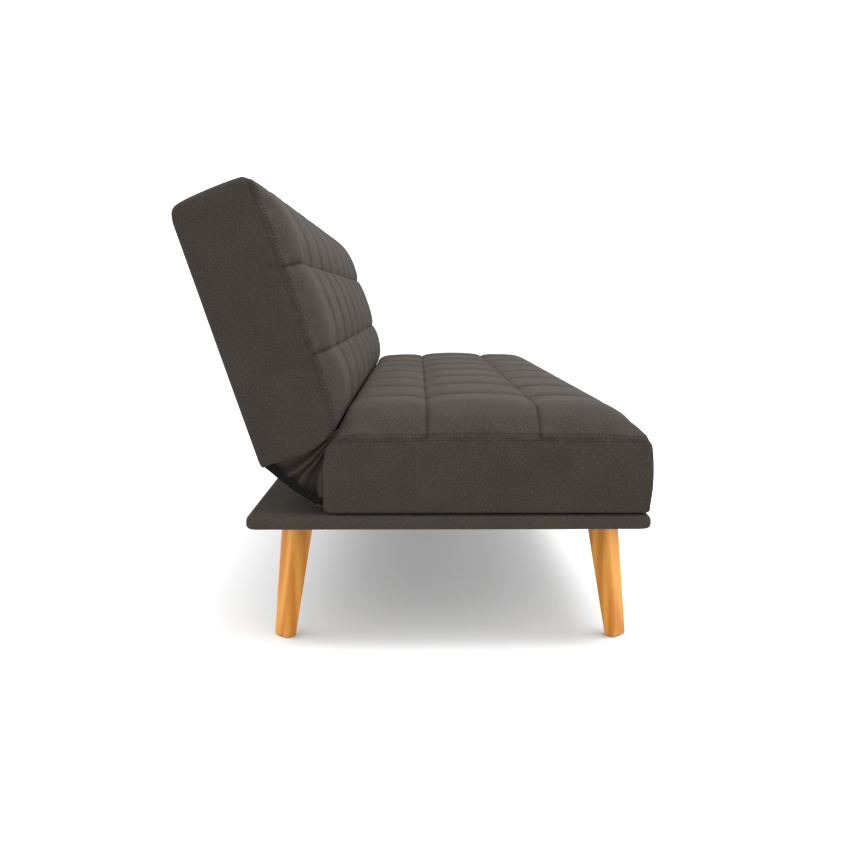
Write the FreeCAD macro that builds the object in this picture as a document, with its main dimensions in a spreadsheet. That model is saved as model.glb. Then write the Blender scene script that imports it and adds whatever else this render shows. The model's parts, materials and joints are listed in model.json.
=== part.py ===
import FreeCAD, Part
import math
import os
import Sketcher
from FreeCAD import Placement, Rotation, Vector

# A three-seat futon sofa bed that folds flat. A thin upholstered platform on four splayed wooden legs
# carries a quilted seat. A quilted back turns on two ratchet hinges inside the ends of the crease.
# Millimetres. X runs along the sofa, the front is towards -Y, Z is up, and the floor is Z = 0.
# Base pieces are placed by their distance behind the seat's front and their height above the floor.
# Back pieces are placed from the hinge pivot: "behind" across the back's thickness, "along" up the back.

doc = FreeCAD.newDocument("futon_sofa_bed")
sheet = doc.addObject("Spreadsheet::Sheet", "Sizes")

DRIVING_SIZES = [
    ("overall_length", 1800, "platform, end to end"),
    ("cushion_inset", 4, "cushions stop this far short of each end of the platform"),
    ("platform_depth", 702, "platform, front to rear"),
    ("platform_under", 220, "underside of the platform above the floor"),
    ("platform_thick", 24, "platform with its padding and fabric"),
    ("platform_corner", 14, "radius of the platform's corners seen from above"),
    ("platform_edge", 8, "radius of the platform's long edges"),
    ("board_thick", 18, "plywood board inside the platform"),
    ("board_inset", 5, "fabric and padding round the board's edge"),
    ("fabric_turn", 45, "platform fabric folded in under the board"),
    ("lining_thick", 0.8, "black lining under the board and the seat"),
    ("seat_lift", 6, "spacers between the platform and the seat frame"),
    ("seat_depth", 568, "seat, front to rear"),
    ("seat_side", 130, "seat's side panels, from their lower edge to the top seam"),
    ("seat_crown", 46, "quilted top above the seam"),
    ("crown_run", 55, "sloping edge of the quilted top"),
    ("crease_drop", 16, "crease slope starts this far below the pivot"),
    ("crease_foot_run", 28, "gentle foot of the crease slope"),
    ("crease_foot_rise", 15, "gentle foot of the crease slope"),
    ("crease_run", 40, "steep middle of the crease slope"),
    ("crease_rise", 40, "steep middle of the crease slope"),
    ("crease_top_run", 40, "shoulder between the crease slope and the quilted top"),
    ("spring_room", 15, "seat rails stop this far below the crease slope"),
    ("cover_thick", 12, "quilted cover with its wadding"),
    ("pivot_drop", 19, "hinge pivot below the seat's top seam"),
    ("back_lean", 18.5, "back from the vertical when sitting, degrees"),
    ("back_tall", 470, "back above the pivot"),
    ("back_clearance", 9, "back above the platform when it lies flat"),
    ("back_front", 42, "back's front seam before the pivot"),
    ("back_crown", 32, "quilted front before the seam"),
    ("back_round", 25, "radius of the back's rear top edge"),
    ("toe_start", 8, "level part of the back's underside before the pivot"),
    ("toe_run", 36, "sloping toe of the back, where it rests against the seat"),
    ("toe_rise", 27, "sloping toe of the back, where it rests against the seat"),
    ("toe_slope", 42, "from the toe up to the full crown"),
    ("hinge_gap", 3, "each cushion stops this far short of the pivot plane"),
    ("rail_thick", 25, "timber rails"),
    ("back_rail_deep", 70, "back rails"),
    ("frame_gap", 2, "frame inside its cover"),
    ("cross_spread", 300, "cross rails either side of the middle"),
    ("cross_drop", 20, "cross rails kept below the springs"),
    ("wire_radius", 2, "spring wire"),
    ("spring_count", 10, "springs along each cushion"),
    ("loop_radius", 20, "loops of the spring wire"),
    ("loop_reach", 8, "straight part of each loop, either side of the middle"),
    ("spring_rise", 5, "spring wire above the rails"),
    ("felt_thick", 2.5, "felt between springs and foam"),
    ("hinge_inset", 38, "hinge seat plates inside the platform's ends"),
    ("plate_thick", 4, "hinge plates"),
    ("layer_gap", 0.5, "washer gap between the hinge layers"),
    ("pivot_radius", 5, "pivot bolt"),
    ("running_gap", 0.06, "clearance round the pivot bolt and the pawl pins"),
    ("boss_radius", 20, "seat plate round the pivot"),
    ("sector_radius", 25, "toothed end of the back arm"),
    ("pawl_reach", 50, "pawl pin from the pivot"),
    ("pawl_bearing", 10, "pawl pin below the level of the pivot, degrees"),
    ("pawl_dip", 9.5, "engaged pawl below the level, degrees"),
    ("pawl_swing", 13, "pawl from lifted clear to engaged, degrees"),
    ("room_round_hinge", 50, "opening in the back above the pivot"),
    ("pawl_length", 35.5, "pawl from its pin to its nose"),
    ("nose_half", 2.2, "half the width of the pawl's nose"),
    ("notch_gap", 0.7, "clearance round the nose in its notch"),
    ("release_travel", 8, "back forward of sitting, where the notch stays open, degrees"),
    ("pin_radius", 3, "pawl pin"),
    ("pawl_half", 6.5, "half the width of the pawl at its pin"),
    ("pawl_eye", 8, "eye of the pawl round its pin"),
    ("coil_wire", 0.8, "square wire of the pawl spring, from its middle to a corner"),
    ("head_thick", 2, "heads of the short screws"),
    ("screw_head", 5, "head radius of the plate screws and the long fixing screws"),
    ("screw_shank", 2.5, "shank radius of the plate screws and the long fixing screws"),
    ("plate_screw_long", 20, "plate screws inside the rail"),
    ("fixing_screw_long", 60, "screws from the board into the seat's rails"),
    ("corner_screw_long", 48, "screws through the end rails"),
    ("clip_wide", 16, "spring clips"),
    ("clip_long", 12, "spring clips"),
    ("spacer_half", 20, "half the length of a spacer along the sofa"),
    ("slot_width", 56, "opening in the cushions round each hinge"),
    ("leg_top_inset", 115, "top of a leg from the platform's end"),
    ("leg_front_behind", 65, "top of a front leg behind the seat's front"),
    ("leg_rear_behind", 625, "top of a rear leg behind the seat's front"),
    ("leg_splay", 35, "foot of a leg beyond its top, along the diagonal"),
    ("leg_wide", 40, "leg across the diagonal"),
    ("leg_top_deep", 50, "leg along the diagonal at the top"),
    ("leg_foot_deep", 24, "leg along the diagonal at the foot"),
    ("leg_round", 7, "radius of the leg's long edges"),
    ("glide_thick", 3, "nylon glide under each leg"),
    ("glide_radius", 9, "nylon glide under each leg"),
    ("bolt_radius", 4, "hanger bolt in each leg"),
    ("bolt_depth", 32, "hanger bolt inside the leg"),
    ("gusset_thick", 2, "folded fabric that closes the crease at each end"),
    ("gusset_inset", 12, "gusset inside the platform's end"),
]


class Size:
    """A length or angle that knows its present value and its formula in terms of the sheet's cells."""

    def __init__(self, value, formula):
        self.value = value
        self.formula = formula

    def __add__(self, other):
        other = as_size(other)
        return Size(self.value + other.value, f"({self.formula} + {other.formula})")

    def __sub__(self, other):
        other = as_size(other)
        return Size(self.value - other.value, f"({self.formula} - {other.formula})")

    def __mul__(self, other):
        other = as_size(other)
        return Size(self.value * other.value, f"({self.formula} * {other.formula})")

    def __truediv__(self, other):
        other = as_size(other)
        return Size(self.value / other.value, f"({self.formula} / {other.formula})")

    def __radd__(self, other):
        return as_size(other) + self

    def __rsub__(self, other):
        return as_size(other) - self

    def __rmul__(self, other):
        return as_size(other) * self

    def __neg__(self):
        return 0 - self


def as_size(number):
    return number if isinstance(number, Size) else Size(number, f"({number})")


def sine(angle):
    return Size(math.sin(math.radians(angle.value)), f"sin({angle.formula} * 1 deg)")


def cosine(angle):
    return Size(math.cos(math.radians(angle.value)), f"cos({angle.formula} * 1 deg)")


for row, (alias, number, meaning) in enumerate(DRIVING_SIZES, 1):
    sheet.set(f"A{row}", alias.replace("_", " "))
    sheet.set(f"B{row}", str(number))
    sheet.set(f"C{row}", meaning)
    sheet.setAlias(f"B{row}", alias)
doc.recompute()


class Sizes:
    """The sheet's cells by name."""


for alias, number, meaning in DRIVING_SIZES:
    setattr(Sizes, alias, Size(number, f"Sizes.{alias}"))
S = Sizes

# ---------------------------------------------------------------- levels worked out from the driving sizes

lean_sine = sine(S.back_lean)
lean_cosine = cosine(S.back_lean)
half_length = S.overall_length / 2
half_cushion = half_length - S.cushion_inset
platform_top = S.platform_under + S.platform_thick
seat_bottom = platform_top + S.seat_lift
seat_seam = seat_bottom + S.seat_side
seat_top = seat_seam + S.seat_crown
pivot_behind = S.seat_depth + S.hinge_gap
pivot_up = seat_seam - S.pivot_drop
crease_level = pivot_up - S.crease_drop
back_rear = pivot_up - platform_top - S.back_clearance
rear_reach = (
    pivot_behind
    + (back_rear - S.back_round) * lean_cosine
    + (S.back_tall - S.back_round) * lean_sine
    + S.back_round
)
front_y = -rear_reach / 2
plate_inner = half_length - S.hinge_inset
plate_outer = plate_inner + S.plate_thick
arm_inner = plate_outer + S.layer_gap
arm_outer = arm_inner + S.plate_thick
slot_inner = half_cushion - S.cover_thick - S.slot_width
slot_outer = half_cushion - S.cover_thick
rail_low = S.cover_thick + S.frame_gap
seat_rail_top = crease_level - S.spring_room
seat_rail_tall = seat_rail_top - seat_bottom
seat_felt_low = seat_rail_top + S.spring_rise + 2 * S.wire_radius + 1
seat_foam_low = seat_felt_low + S.felt_thick
back_inner_rear = back_rear - S.cover_thick - S.frame_gap
back_rail_front = back_inner_rear - S.back_rail_deep
back_felt_rear = back_rail_front - S.spring_rise - 2 * S.wire_radius - 1
back_foam_rear = back_felt_rear - S.felt_thick
back_rail_low = S.hinge_gap + S.cover_thick
back_rail_high = S.back_tall - S.back_round - S.frame_gap

# A sloping face that is drawn in by an inset moves its lower corner down by this share of the inset.
SLOPE_SHARE = 0.4

SIDES = [("left", -1), ("right", 1)]
nodes = {}


# ---------------------------------------------------------------- how pieces are placed and made

class Frame:
    """Where a group of pieces is measured from, and how far it leans back, in degrees."""

    def __init__(self, y, z, lean):
        self.y = y
        self.z = z
        self.lean = lean

    def point(self, x, behind, up):
        """A place in the frame as whole-sofa coordinates."""
        if self.lean is None:
            return (as_size(x), self.y + behind, self.z + up)
        turned_y = as_size(behind) * lean_cosine + as_size(up) * lean_sine
        turned_z = as_size(up) * lean_cosine - as_size(behind) * lean_sine
        return (as_size(x), self.y + turned_y, self.z + turned_z)

    def turn(self):
        return Rotation(Vector(1, 0, 0), 0 if self.lean is None else -self.lean.value)


base_frame = Frame(front_y, as_size(0), None)
pivot_frame = Frame(front_y + pivot_behind, pivot_up, None)
back_frame = Frame(front_y + pivot_behind, pivot_up, S.back_lean)


def bind(item, name, size):
    item.setExpression(name, as_size(size).formula)


def put(item, frame, x=0, behind=0, up=0):
    """Stands an object at a place in a frame, and ties that place to the sheet."""
    stand(item, frame.point(x, behind, up), frame.turn())
    if frame.lean is not None:
        bind(item, "Placement.Rotation.Angle", -frame.lean)


def stand(item, place, rotation):
    """Places an object whose turn stays the same, and ties its place to the sheet."""
    item.Placement = Placement(Vector(*[size.value for size in place]), rotation)
    for axis, size in zip("xyz", place):
        bind(item, f"Placement.Base.{axis}", size)


def lay_along_x(item, frame, x_low, behind, up):
    """Stands an upright shape on its side, so that it runs along X."""
    stand(item, frame.point(x_low, behind, up), Rotation(Vector(0, 1, 0), 90))


def box(name, frame, low, high):
    """A rectangular block between two corners of a frame."""
    item = doc.addObject("Part::Box", name)
    for prop, start, end in zip(("Length", "Width", "Height"), low, high):
        bind(item, prop, as_size(end) - start)
    put(item, frame, *low)
    return item


def rod(name, frame, x_low, x_high, behind, up, radius):
    """A round bar along X."""
    item = doc.addObject("Part::Cylinder", name)
    bind(item, "Radius", radius)
    bind(item, "Height", as_size(x_high) - x_low)
    lay_along_x(item, frame, x_low, behind, up)
    return item


def stud(name, frame, x, behind, low, high, radius):
    """An upright round bar."""
    item = doc.addObject("Part::Cylinder", name)
    bind(item, "Radius", radius)
    bind(item, "Height", as_size(high) - low)
    put(item, frame, x, behind, low)
    return item


def cut(name, item, tools):
    """The piece with the tools' shapes taken away."""
    for number, tool in enumerate(tools):
        taken = doc.addObject("Part::Cut", f"{name}_cut_{number}")
        taken.Base = item
        taken.Tool = tool
        item = taken
    return item


def fuse(name, items):
    joined = doc.addObject("Part::MultiFuse", name)
    joined.Shapes = items
    return joined


def group(name, items):
    """Identical separate pieces kept as one node."""
    together = doc.addObject("Part::Compound", name)
    together.Links = items
    return together


def keep(label, item):
    """Registers a finished piece under the name of its file."""
    item.Label = label
    nodes[label] = item
    return item


def origin_plane(body, role):
    return [plane for plane in body.Origin.OriginFeatures if plane.Role == role][0]


def outline(body, role, points, name, offset=None):
    """A closed outline of straight lines on one of the body's own planes. Points are pairs of sizes."""
    sketch = body.newObject("Sketcher::SketchObject", name)
    sketch.AttachmentSupport = [(origin_plane(body, role), "")]
    sketch.MapMode = "FlatFace"
    if offset is not None:
        sketch.AttachmentOffset = Placement(Vector(0, 0, as_size(offset).value), Rotation())
        bind(sketch, "AttachmentOffset.Base.z", offset)
    pairs = [(as_size(across), as_size(up)) for across, up in points]
    corners = [Vector(across.value, up.value, 0) for across, up in pairs]
    for number, corner in enumerate(corners):
        sketch.addGeometry(Part.LineSegment(corner, corners[(number + 1) % len(corners)]))
    for number, (across, up) in enumerate(pairs):
        following = (number + 1) % len(pairs)
        sketch.addConstraint(Sketcher.Constraint("Coincident", number, 2, following, 1))
        for kind, size in (("DistanceX", across), ("DistanceY", up)):
            index = sketch.addConstraint(Sketcher.Constraint(kind, -1, 1, number, 1, size.value))
            bind(sketch, f"Constraints[{index}]", size)
    return sketch


def side_plate(name, frame, x_low, x_high, points):
    """A body whose side outline, behind and up, runs along X from x_low to x_high."""
    body = doc.addObject("PartDesign::Body", name)
    sketch = outline(body, "YZ_Plane", points, f"{name}_outline")
    pad = body.newObject("PartDesign::Pad", f"{name}_pad")
    pad.Profile = sketch
    bind(pad, "Length", as_size(x_high) - x_low)
    put(body, frame, x_low, 0, 0)
    return body


def front_plate(name, frame, role, low, high, points):
    """A body whose outline, drawn on a plane seen from the front or above, has a depth from low to high."""
    body = doc.addObject("PartDesign::Body", name)
    sketch = outline(body, role, points, f"{name}_outline")
    pad = body.newObject("PartDesign::Pad", f"{name}_pad")
    pad.Profile = sketch
    bind(pad, "Length", as_size(high) - low)
    if role == "XZ_Plane":
        pad.Reversed = True
        put(body, frame, 0, low, 0)
    else:
        put(body, frame, 0, 0, low)
    return body


def common(name, first, second):
    both = doc.addObject("Part::Common", name)
    both.Base = first
    both.Tool = second
    return both


def edges_where(shape, test):
    return [f"Edge{number}" for number, edge in enumerate(shape.Edges, 1) if test(edge)]


def layer(side, inner, outer):
    """The two X planes of a layer on one side, lower first."""
    return (inner, outer) if side > 0 else (-outer, -inner)


def screw_shape(place, direction, head_radius, head_thick, shank_radius, length):
    """A screw whose head stands on the surface at the given place and whose shank runs along the direction."""
    shank = Part.makeCylinder(shank_radius, length, place, direction)
    head = Part.makeCylinder(head_radius, head_thick, place - direction * head_thick, direction)
    return shank.fuse(head).removeSplitter()


def feature(label, shape):
    """A piece whose shape is computed here, from the sheet's values."""
    item = doc.addObject("Part::Feature", label)
    item.Shape = shape
    item.Placement = Placement()
    return item


def spot(frame, x, behind, up):
    """A place in a frame as a vector of plain numbers."""
    return Vector(*[size.value for size in frame.point(x, behind, up)])


# ---------------------------------------------------------------- platform

def rounded_slab(name, inset, low, high, corner, edge):
    """The platform's slab with rounded corners, drawn in by the inset."""
    body = front_plate(
        name, base_frame, "XY_Plane", low, high,
        [
            (inset - half_length, inset),
            (half_length - inset, inset),
            (half_length - inset, S.platform_depth - inset),
            (inset - half_length, S.platform_depth - inset),
        ],
    )
    doc.recompute()
    pad = body.Tip
    upright = edges_where(pad.Shape, lambda edge: abs(edge.tangentAt(edge.FirstParameter).z) > 0.9)
    corners = body.newObject("PartDesign::Fillet", f"{name}_corners")
    corners.Base = (pad, upright)
    bind(corners, "Radius", corner)
    body.Tip = corners
    doc.recompute()
    if edge is not None:
        level = edges_where(corners.Shape, lambda one: one.BoundBox.ZLength < 0.01)
        rim = body.newObject("PartDesign::Fillet", f"{name}_rim")
        rim.Base = (corners, level)
        bind(rim, "Radius", edge)
        body.Tip = rim
        doc.recompute()
    return body


board_low = S.platform_under + 1
board_high = board_low + S.board_thick
leg_places = [
    (label, side, behind, way)
    for behind, row, way in ((S.leg_front_behind, "front", -1), (S.leg_rear_behind, "rear", 1))
    for label, side in ((f"leg_{row}_left", -1), (f"leg_{row}_right", 1))
]


def leg_top_x(side):
    return side * (half_length - S.leg_top_inset)


spacer_places = [
    (across, behind)
    for across in (-S.cross_spread * 2.5, as_size(0), S.cross_spread * 2.5)
    for behind in (rail_low + S.rail_thick / 2, S.seat_depth - rail_low - S.rail_thick / 2)
]

slab = rounded_slab("platform_slab", as_size(0), S.platform_under, platform_top,
                    S.platform_corner, S.platform_edge)
board_room = rounded_slab("board_room", S.board_inset, board_low, board_high,
                          S.platform_corner - S.board_inset, None)
turn_opening = box(
    "turn_opening", base_frame,
    (S.fabric_turn - half_length, S.fabric_turn, S.platform_under - 1),
    (half_length - S.fabric_turn, S.platform_depth - S.fabric_turn, board_low),
)

bolt_rods = []
nut_bodies = []
for label, side, behind, way in leg_places:
    bolt_rods.append(stud(f"{label}_bolt", base_frame, leg_top_x(side), behind,
                          S.platform_under - S.bolt_depth, board_high - 1, S.bolt_radius))
leg_bolts = keep("leg_bolts", group("leg_bolts", bolt_rods))
for label, side, behind, way in leg_places:
    barrel = stud(f"{label}_nut_barrel", base_frame, leg_top_x(side), behind,
                  board_low + 6, board_high, S.bolt_radius + 1.5)
    flange = stud(f"{label}_nut_flange", base_frame, leg_top_x(side), behind,
                  board_high - 1.5, board_high, S.bolt_radius + 7)
    nut_bodies.append(cut(f"{label}_nut", fuse(f"{label}_nut_blank", [barrel, flange]), [leg_bolts]))
tee_nuts = keep("leg_tee_nuts", group("leg_tee_nuts", nut_bodies))


fixing_head = as_size(3)


def fixing_screws():
    """Long screws from under the board, through the spacers, into the seat's front and rear rails."""
    shapes = []
    for across, behind in spacer_places:
        place = spot(base_frame, across, behind, board_low + fixing_head)
        shapes.append(screw_shape(place, Vector(0, 0, 1), S.screw_head.value, fixing_head.value,
                                  S.screw_shank.value, S.fixing_screw_long.value))
    return Part.makeCompound(shapes)


seat_fixing_screws = keep("seat_fixing_screws", feature("seat_fixing_screws", fixing_screws()))

board_blank = rounded_slab("board_blank", S.board_inset, board_low, board_high,
                           S.platform_corner - S.board_inset, None)
keep("platform_board", cut("platform_board", board_blank, [leg_bolts, tee_nuts, seat_fixing_screws]))
keep("platform_cover", cut("platform_cover", slab, [board_room, turn_opening, leg_bolts, seat_fixing_screws]))
platform_lining = box(
    "platform_lining_sheet", base_frame,
    (S.fabric_turn - half_length, S.fabric_turn, board_low - S.lining_thick),
    (half_length - S.fabric_turn, S.platform_depth - S.fabric_turn, board_low),
)
keep("platform_lining", cut("platform_lining", platform_lining, [leg_bolts, seat_fixing_screws]))


# ---------------------------------------------------------------- legs

def rounded_outline(body, name, centre, deep, wide, radius, level):
    """A rectangle with rounded corners, level above the body's origin, centred along the splay."""
    sketch = body.newObject("Sketcher::SketchObject", name)
    sketch.AttachmentSupport = [(origin_plane(body, "XY_Plane"), "")]
    sketch.MapMode = "FlatFace"
    sketch.AttachmentOffset = Placement(Vector(0, 0, as_size(level).value), Rotation())
    bind(sketch, "AttachmentOffset.Base.z", level)
    quarter = math.pi / 2
    signs = [(1, -1), (1, 1), (-1, 1), (-1, -1)]
    middle = as_size(centre)
    for number, (right, far) in enumerate(signs):
        arc_x = middle + right * (deep / 2 - radius)
        arc_y = far * (wide / 2 - radius)
        start = (number - 1) * quarter
        circle = Part.Circle(Vector(arc_x.value, arc_y.value, 0), Vector(0, 0, 1), radius.value)
        sketch.addGeometry(Part.ArcOfCircle(circle, start, start + quarter))
        for kind, size in (("DistanceX", arc_x), ("DistanceY", arc_y)):
            index = sketch.addConstraint(Sketcher.Constraint(kind, -1, 1, number, 3, size.value))
            bind(sketch, f"Constraints[{index}]", size)
        index = sketch.addConstraint(Sketcher.Constraint("Radius", number, radius.value))
        bind(sketch, f"Constraints[{index}]", radius)
    for number in range(4):
        following = (number + 1) % 4
        sketch.addGeometry(Part.LineSegment(
            sketch.Geometry[number].EndPoint, sketch.Geometry[following].StartPoint))
        line = 4 + number
        sketch.addConstraint(Sketcher.Constraint("Tangent", number, 2, line, 1))
        sketch.addConstraint(Sketcher.Constraint("Tangent", line, 2, following, 1))
    return sketch


def make_leg(label, side, behind, way):
    """A tapered leg that splays out along the diagonal, from the platform down to its glide."""
    body = doc.addObject("PartDesign::Body", f"{label}_wood")
    leg_tall = S.platform_under - S.glide_thick
    foot = rounded_outline(body, f"{label}_foot", S.leg_splay, S.leg_foot_deep, S.leg_wide, S.leg_round, 0)
    top = rounded_outline(body, f"{label}_top", 0, S.leg_top_deep, S.leg_wide, S.leg_round, leg_tall)
    loft = body.newObject("PartDesign::AdditiveLoft", f"{label}_loft")
    loft.Profile = foot
    loft.Sections = [top]
    loft.Ruled = True
    put(body, base_frame, leg_top_x(side), behind, S.glide_thick)
    body.Placement.Rotation = Rotation(Vector(0, 0, 1), math.degrees(math.atan2(way, side)))
    return keep(label, cut(label, body, [leg_bolts]))


glides = []
for label, side, behind, way in leg_places:
    make_leg(label, side, behind, way)
    diagonal = S.leg_splay * math.sqrt(0.5)
    glides.append(stud(f"{label}_glide", base_frame, leg_top_x(side) + side * diagonal,
                       behind + way * diagonal, 0, S.glide_thick, S.glide_radius))
keep("foot_glides", group("foot_glides", glides))


# ---------------------------------------------------------------- seat frame

end_rail_inner = plate_inner - S.rail_thick


def plate_screw_shapes(side, x_face, frame, places):
    """Short screws through a hinge plate into the rail inside it."""
    inward = Vector(-side, 0, 0)
    shapes = []
    for behind, up in places:
        place = spot(frame, side * x_face, behind, up)
        shapes.append(screw_shape(place, inward, S.screw_head.value, S.head_thick.value,
                                  S.screw_shank.value, S.plate_screw_long.value))
    return shapes


seat_plate_low = seat_bottom + 12 - pivot_up
seat_plate_holes = [
    (behind, seat_plate_low + above)
    for behind, above in ((-115, 14), (-60, 14), (-115, 39))
]
arm_strip_wide = 36
back_arm_holes = [(back_rail_front + arm_strip_wide / 2, along) for along in (80, 115, 148)]
seat_screw_shapes = []
arm_screw_shapes = []
for name, side in SIDES:
    seat_screw_shapes += plate_screw_shapes(side, plate_outer, pivot_frame, seat_plate_holes)
    arm_screw_shapes += plate_screw_shapes(side, arm_outer, back_frame, back_arm_holes)
seat_plate_screws = keep("seat_plate_screws",
                         feature("seat_plate_screws", Part.makeCompound(seat_screw_shapes)))
back_arm_screws = keep("back_arm_screws",
                       feature("back_arm_screws", Part.makeCompound(arm_screw_shapes)))


def corner_screws(frame, across_rails, face):
    """Screws through the end rails, heads flush with their outer face, two at each corner."""
    shapes = []
    for behind, up in across_rails:
        for side in (-1, 1):
            place = spot(frame, side * (face - S.head_thick), behind, up)
            shapes.append(screw_shape(place, Vector(-side, 0, 0), S.screw_head.value - 1,
                                      S.head_thick.value, S.screw_shank.value - 0.5,
                                      S.corner_screw_long.value))
    return Part.makeCompound(shapes)


seat_corner_places = [
    (row, seat_bottom + part * seat_rail_tall)
    for row in (rail_low + S.rail_thick / 2, S.seat_depth - rail_low - S.rail_thick / 2)
    for part in (0.3, 0.8)
]
seat_frame_screws = keep(
    "seat_frame_screws",
    feature("seat_frame_screws", corner_screws(base_frame, seat_corner_places, plate_inner)),
)
seat_wood_tools = [seat_fixing_screws, seat_plate_screws, seat_frame_screws]

for label, behind in (("seat_rail_front", rail_low),
                      ("seat_rail_rear", S.seat_depth - rail_low - S.rail_thick)):
    rail = box(f"{label}_blank", base_frame, (-end_rail_inner, behind, seat_bottom),
               (end_rail_inner, behind + S.rail_thick, seat_rail_top))
    keep(label, cut(label, rail, seat_wood_tools))
for name, side in SIDES:
    label = f"seat_end_rail_{name}"
    x_low, x_high = layer(side, end_rail_inner, plate_inner)
    rail = box(f"{label}_blank", base_frame, (x_low, rail_low, seat_bottom),
               (x_high, S.seat_depth - rail_low, seat_rail_top))
    keep(label, cut(label, rail, seat_wood_tools))
cross_rails = [
    box(f"seat_cross_rail_{number}", base_frame,
        (place - S.rail_thick / 2, rail_low + S.rail_thick, seat_bottom),
        (place + S.rail_thick / 2, S.seat_depth - rail_low - S.rail_thick, seat_rail_top - S.cross_drop))
    for number, place in enumerate((-S.cross_spread, S.cross_spread))
]
keep("seat_cross_rails", group("seat_cross_rails", cross_rails))

spacers = [
    box(f"spacer_{number}", base_frame, (across - S.spacer_half, behind - 12, platform_top),
        (across + S.spacer_half, behind + 12, seat_bottom))
    for number, (across, behind) in enumerate(spacer_places)
]
spacer_group = group("spacer_blanks", spacers)
keep("seat_spacers", cut("seat_spacers", spacer_group, [seat_fixing_screws]))
seat_lining = box("seat_lining_sheet", base_frame,
                  (12 - half_cushion, 12, seat_bottom - S.lining_thick),
                  (half_cushion - 12, S.seat_depth - 12, seat_bottom))
keep("seat_lining", cut("seat_lining", seat_lining, [spacer_group]))


# ---------------------------------------------------------------- springs

def wave_wire(run):
    """One zigzag spring along +Y, centred on X = 0, its loops lying in the XY plane."""
    radius = S.loop_radius.value
    reach = S.loop_reach.value
    loops = int((run - 4 * radius) / (2 * radius))
    start = (run - loops * 2 * radius) / 2
    edges = [Part.makeLine(Vector(0, 0, 0), Vector(0, start - radius, 0))]
    edges.append(Part.Arc(
        Vector(0, start - radius, 0),
        Vector(radius * (1 - math.sqrt(0.5)), start - radius * (1 - math.sqrt(0.5)), 0),
        Vector(radius, start, 0),
    ).toShape())
    across = radius
    for number in range(loops):
        way = 1 if number % 2 == 0 else -1
        y = start + number * 2 * radius
        edges.append(Part.makeLine(Vector(across, y, 0), Vector(way * (reach + radius), y, 0)))
        across = way * (reach + radius)
        if number < loops - 1:
            edges.append(Part.Arc(
                Vector(across, y, 0),
                Vector(across + way * radius, y + radius, 0),
                Vector(across, y + 2 * radius, 0),
            ).toShape())
    end_y = start + (loops - 1) * 2 * radius
    way = 1 if across > 0 else -1
    edges.append(Part.Arc(
        Vector(across, end_y, 0),
        Vector(across + way * radius * math.sqrt(0.5), end_y + radius * (1 - math.sqrt(0.5)), 0),
        Vector(across + way * radius, end_y + radius, 0),
    ).toShape())
    edges.append(Part.makeLine(Vector(across + way * radius, end_y + radius, 0),
                               Vector(across + way * radius, run, 0)))
    path = Part.Wire(Part.__sortEdges__(edges))
    section = Part.Wire(Part.makeCircle(S.wire_radius.value, Vector(0, 0, 0), Vector(0, 1, 0)))
    return path.makePipeShell([section], True, True), across + way * radius


def spring_set(run, half_span, place_of):
    """Evenly spaced zigzag springs, each put in place by a function of its X."""
    wire, end_across = wave_wire(run)
    count = int(S.spring_count.value)
    pitch = 2 * half_span / count
    shapes = []
    clips = []
    for number in range(count):
        x = -half_span + (number + 0.5) * pitch
        for shapes_list, shape in ((shapes, wire), (clips, clip_pair(run, end_across))):
            piece = shape.copy()
            piece.Placement = place_of(x)
            shapes_list.append(piece)
    return Part.makeCompound(shapes), Part.makeCompound(clips)


def clip_pair(run, end_across):
    """Two steel clips, one round each end of a spring, standing on the rails."""
    wide = S.clip_wide.value
    long = S.clip_long.value
    over_wire = 0.8
    pieces = []
    for across, y in ((0, 1), (end_across, run - long - 1)):
        block = Part.makeBox(wide, long, S.spring_rise.value + 2 * S.wire_radius.value + over_wire,
                             Vector(across - wide / 2, y, -S.spring_rise.value - S.wire_radius.value))
        tunnel = Part.makeCylinder(S.wire_radius.value, long, Vector(across, y, 0), Vector(0, 1, 0))
        pieces.append(block.cut(tunnel))
    return Part.makeCompound(pieces)


spring_level = seat_rail_top + S.spring_rise + S.wire_radius
spring_span = end_rail_inner.value - 20
spring_end = 5
seat_run = (S.seat_depth - 2 * rail_low).value - 2 * spring_end


def seat_spring_place(x):
    start = spot(base_frame, x, rail_low + spring_end, spring_level)
    return Placement(start, Rotation())


seat_springs, seat_clips = spring_set(seat_run, spring_span, seat_spring_place)
keep("seat_springs", feature("seat_springs", seat_springs))
keep("seat_spring_clips", feature("seat_spring_clips", seat_clips))

back_run = (back_rail_high - back_rail_low).value - 2 * spring_end
back_spring_behind = back_rail_front - S.spring_rise - S.wire_radius


def back_spring_place(x):
    start = spot(back_frame, x, back_spring_behind, back_rail_low + spring_end)
    upright = Rotation(Vector(1, 0, 0), 90 - S.back_lean.value)
    return Placement(start, upright)


back_springs, back_clips = spring_set(back_run, spring_span, back_spring_place)
keep("back_springs", feature("back_springs", back_springs))
keep("back_spring_clips", feature("back_spring_clips", back_clips))


# ---------------------------------------------------------------- cushions

def seat_side_outline(inset, bottom):
    """The seat seen from the end, drawn in by the inset: upright front, crowned top, slope at the crease."""
    rear = S.seat_depth - inset
    crease = crease_level - inset * SLOPE_SHARE
    slope_foot = rear - S.crease_foot_run
    slope_top = slope_foot - S.crease_run - inset * SLOPE_SHARE / 2
    foot_level = crease + S.crease_foot_rise
    return [
        (inset, bottom),
        (rear, bottom),
        (rear, crease),
        (slope_foot, foot_level),
        (slope_top, foot_level + S.crease_rise - inset * SLOPE_SHARE),
        (slope_top - S.crease_top_run, seat_top - inset),
        (S.crown_run + inset * (1 - SLOPE_SHARE), seat_top - inset),
        (inset, seat_seam - inset * SLOPE_SHARE),
    ]


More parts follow.
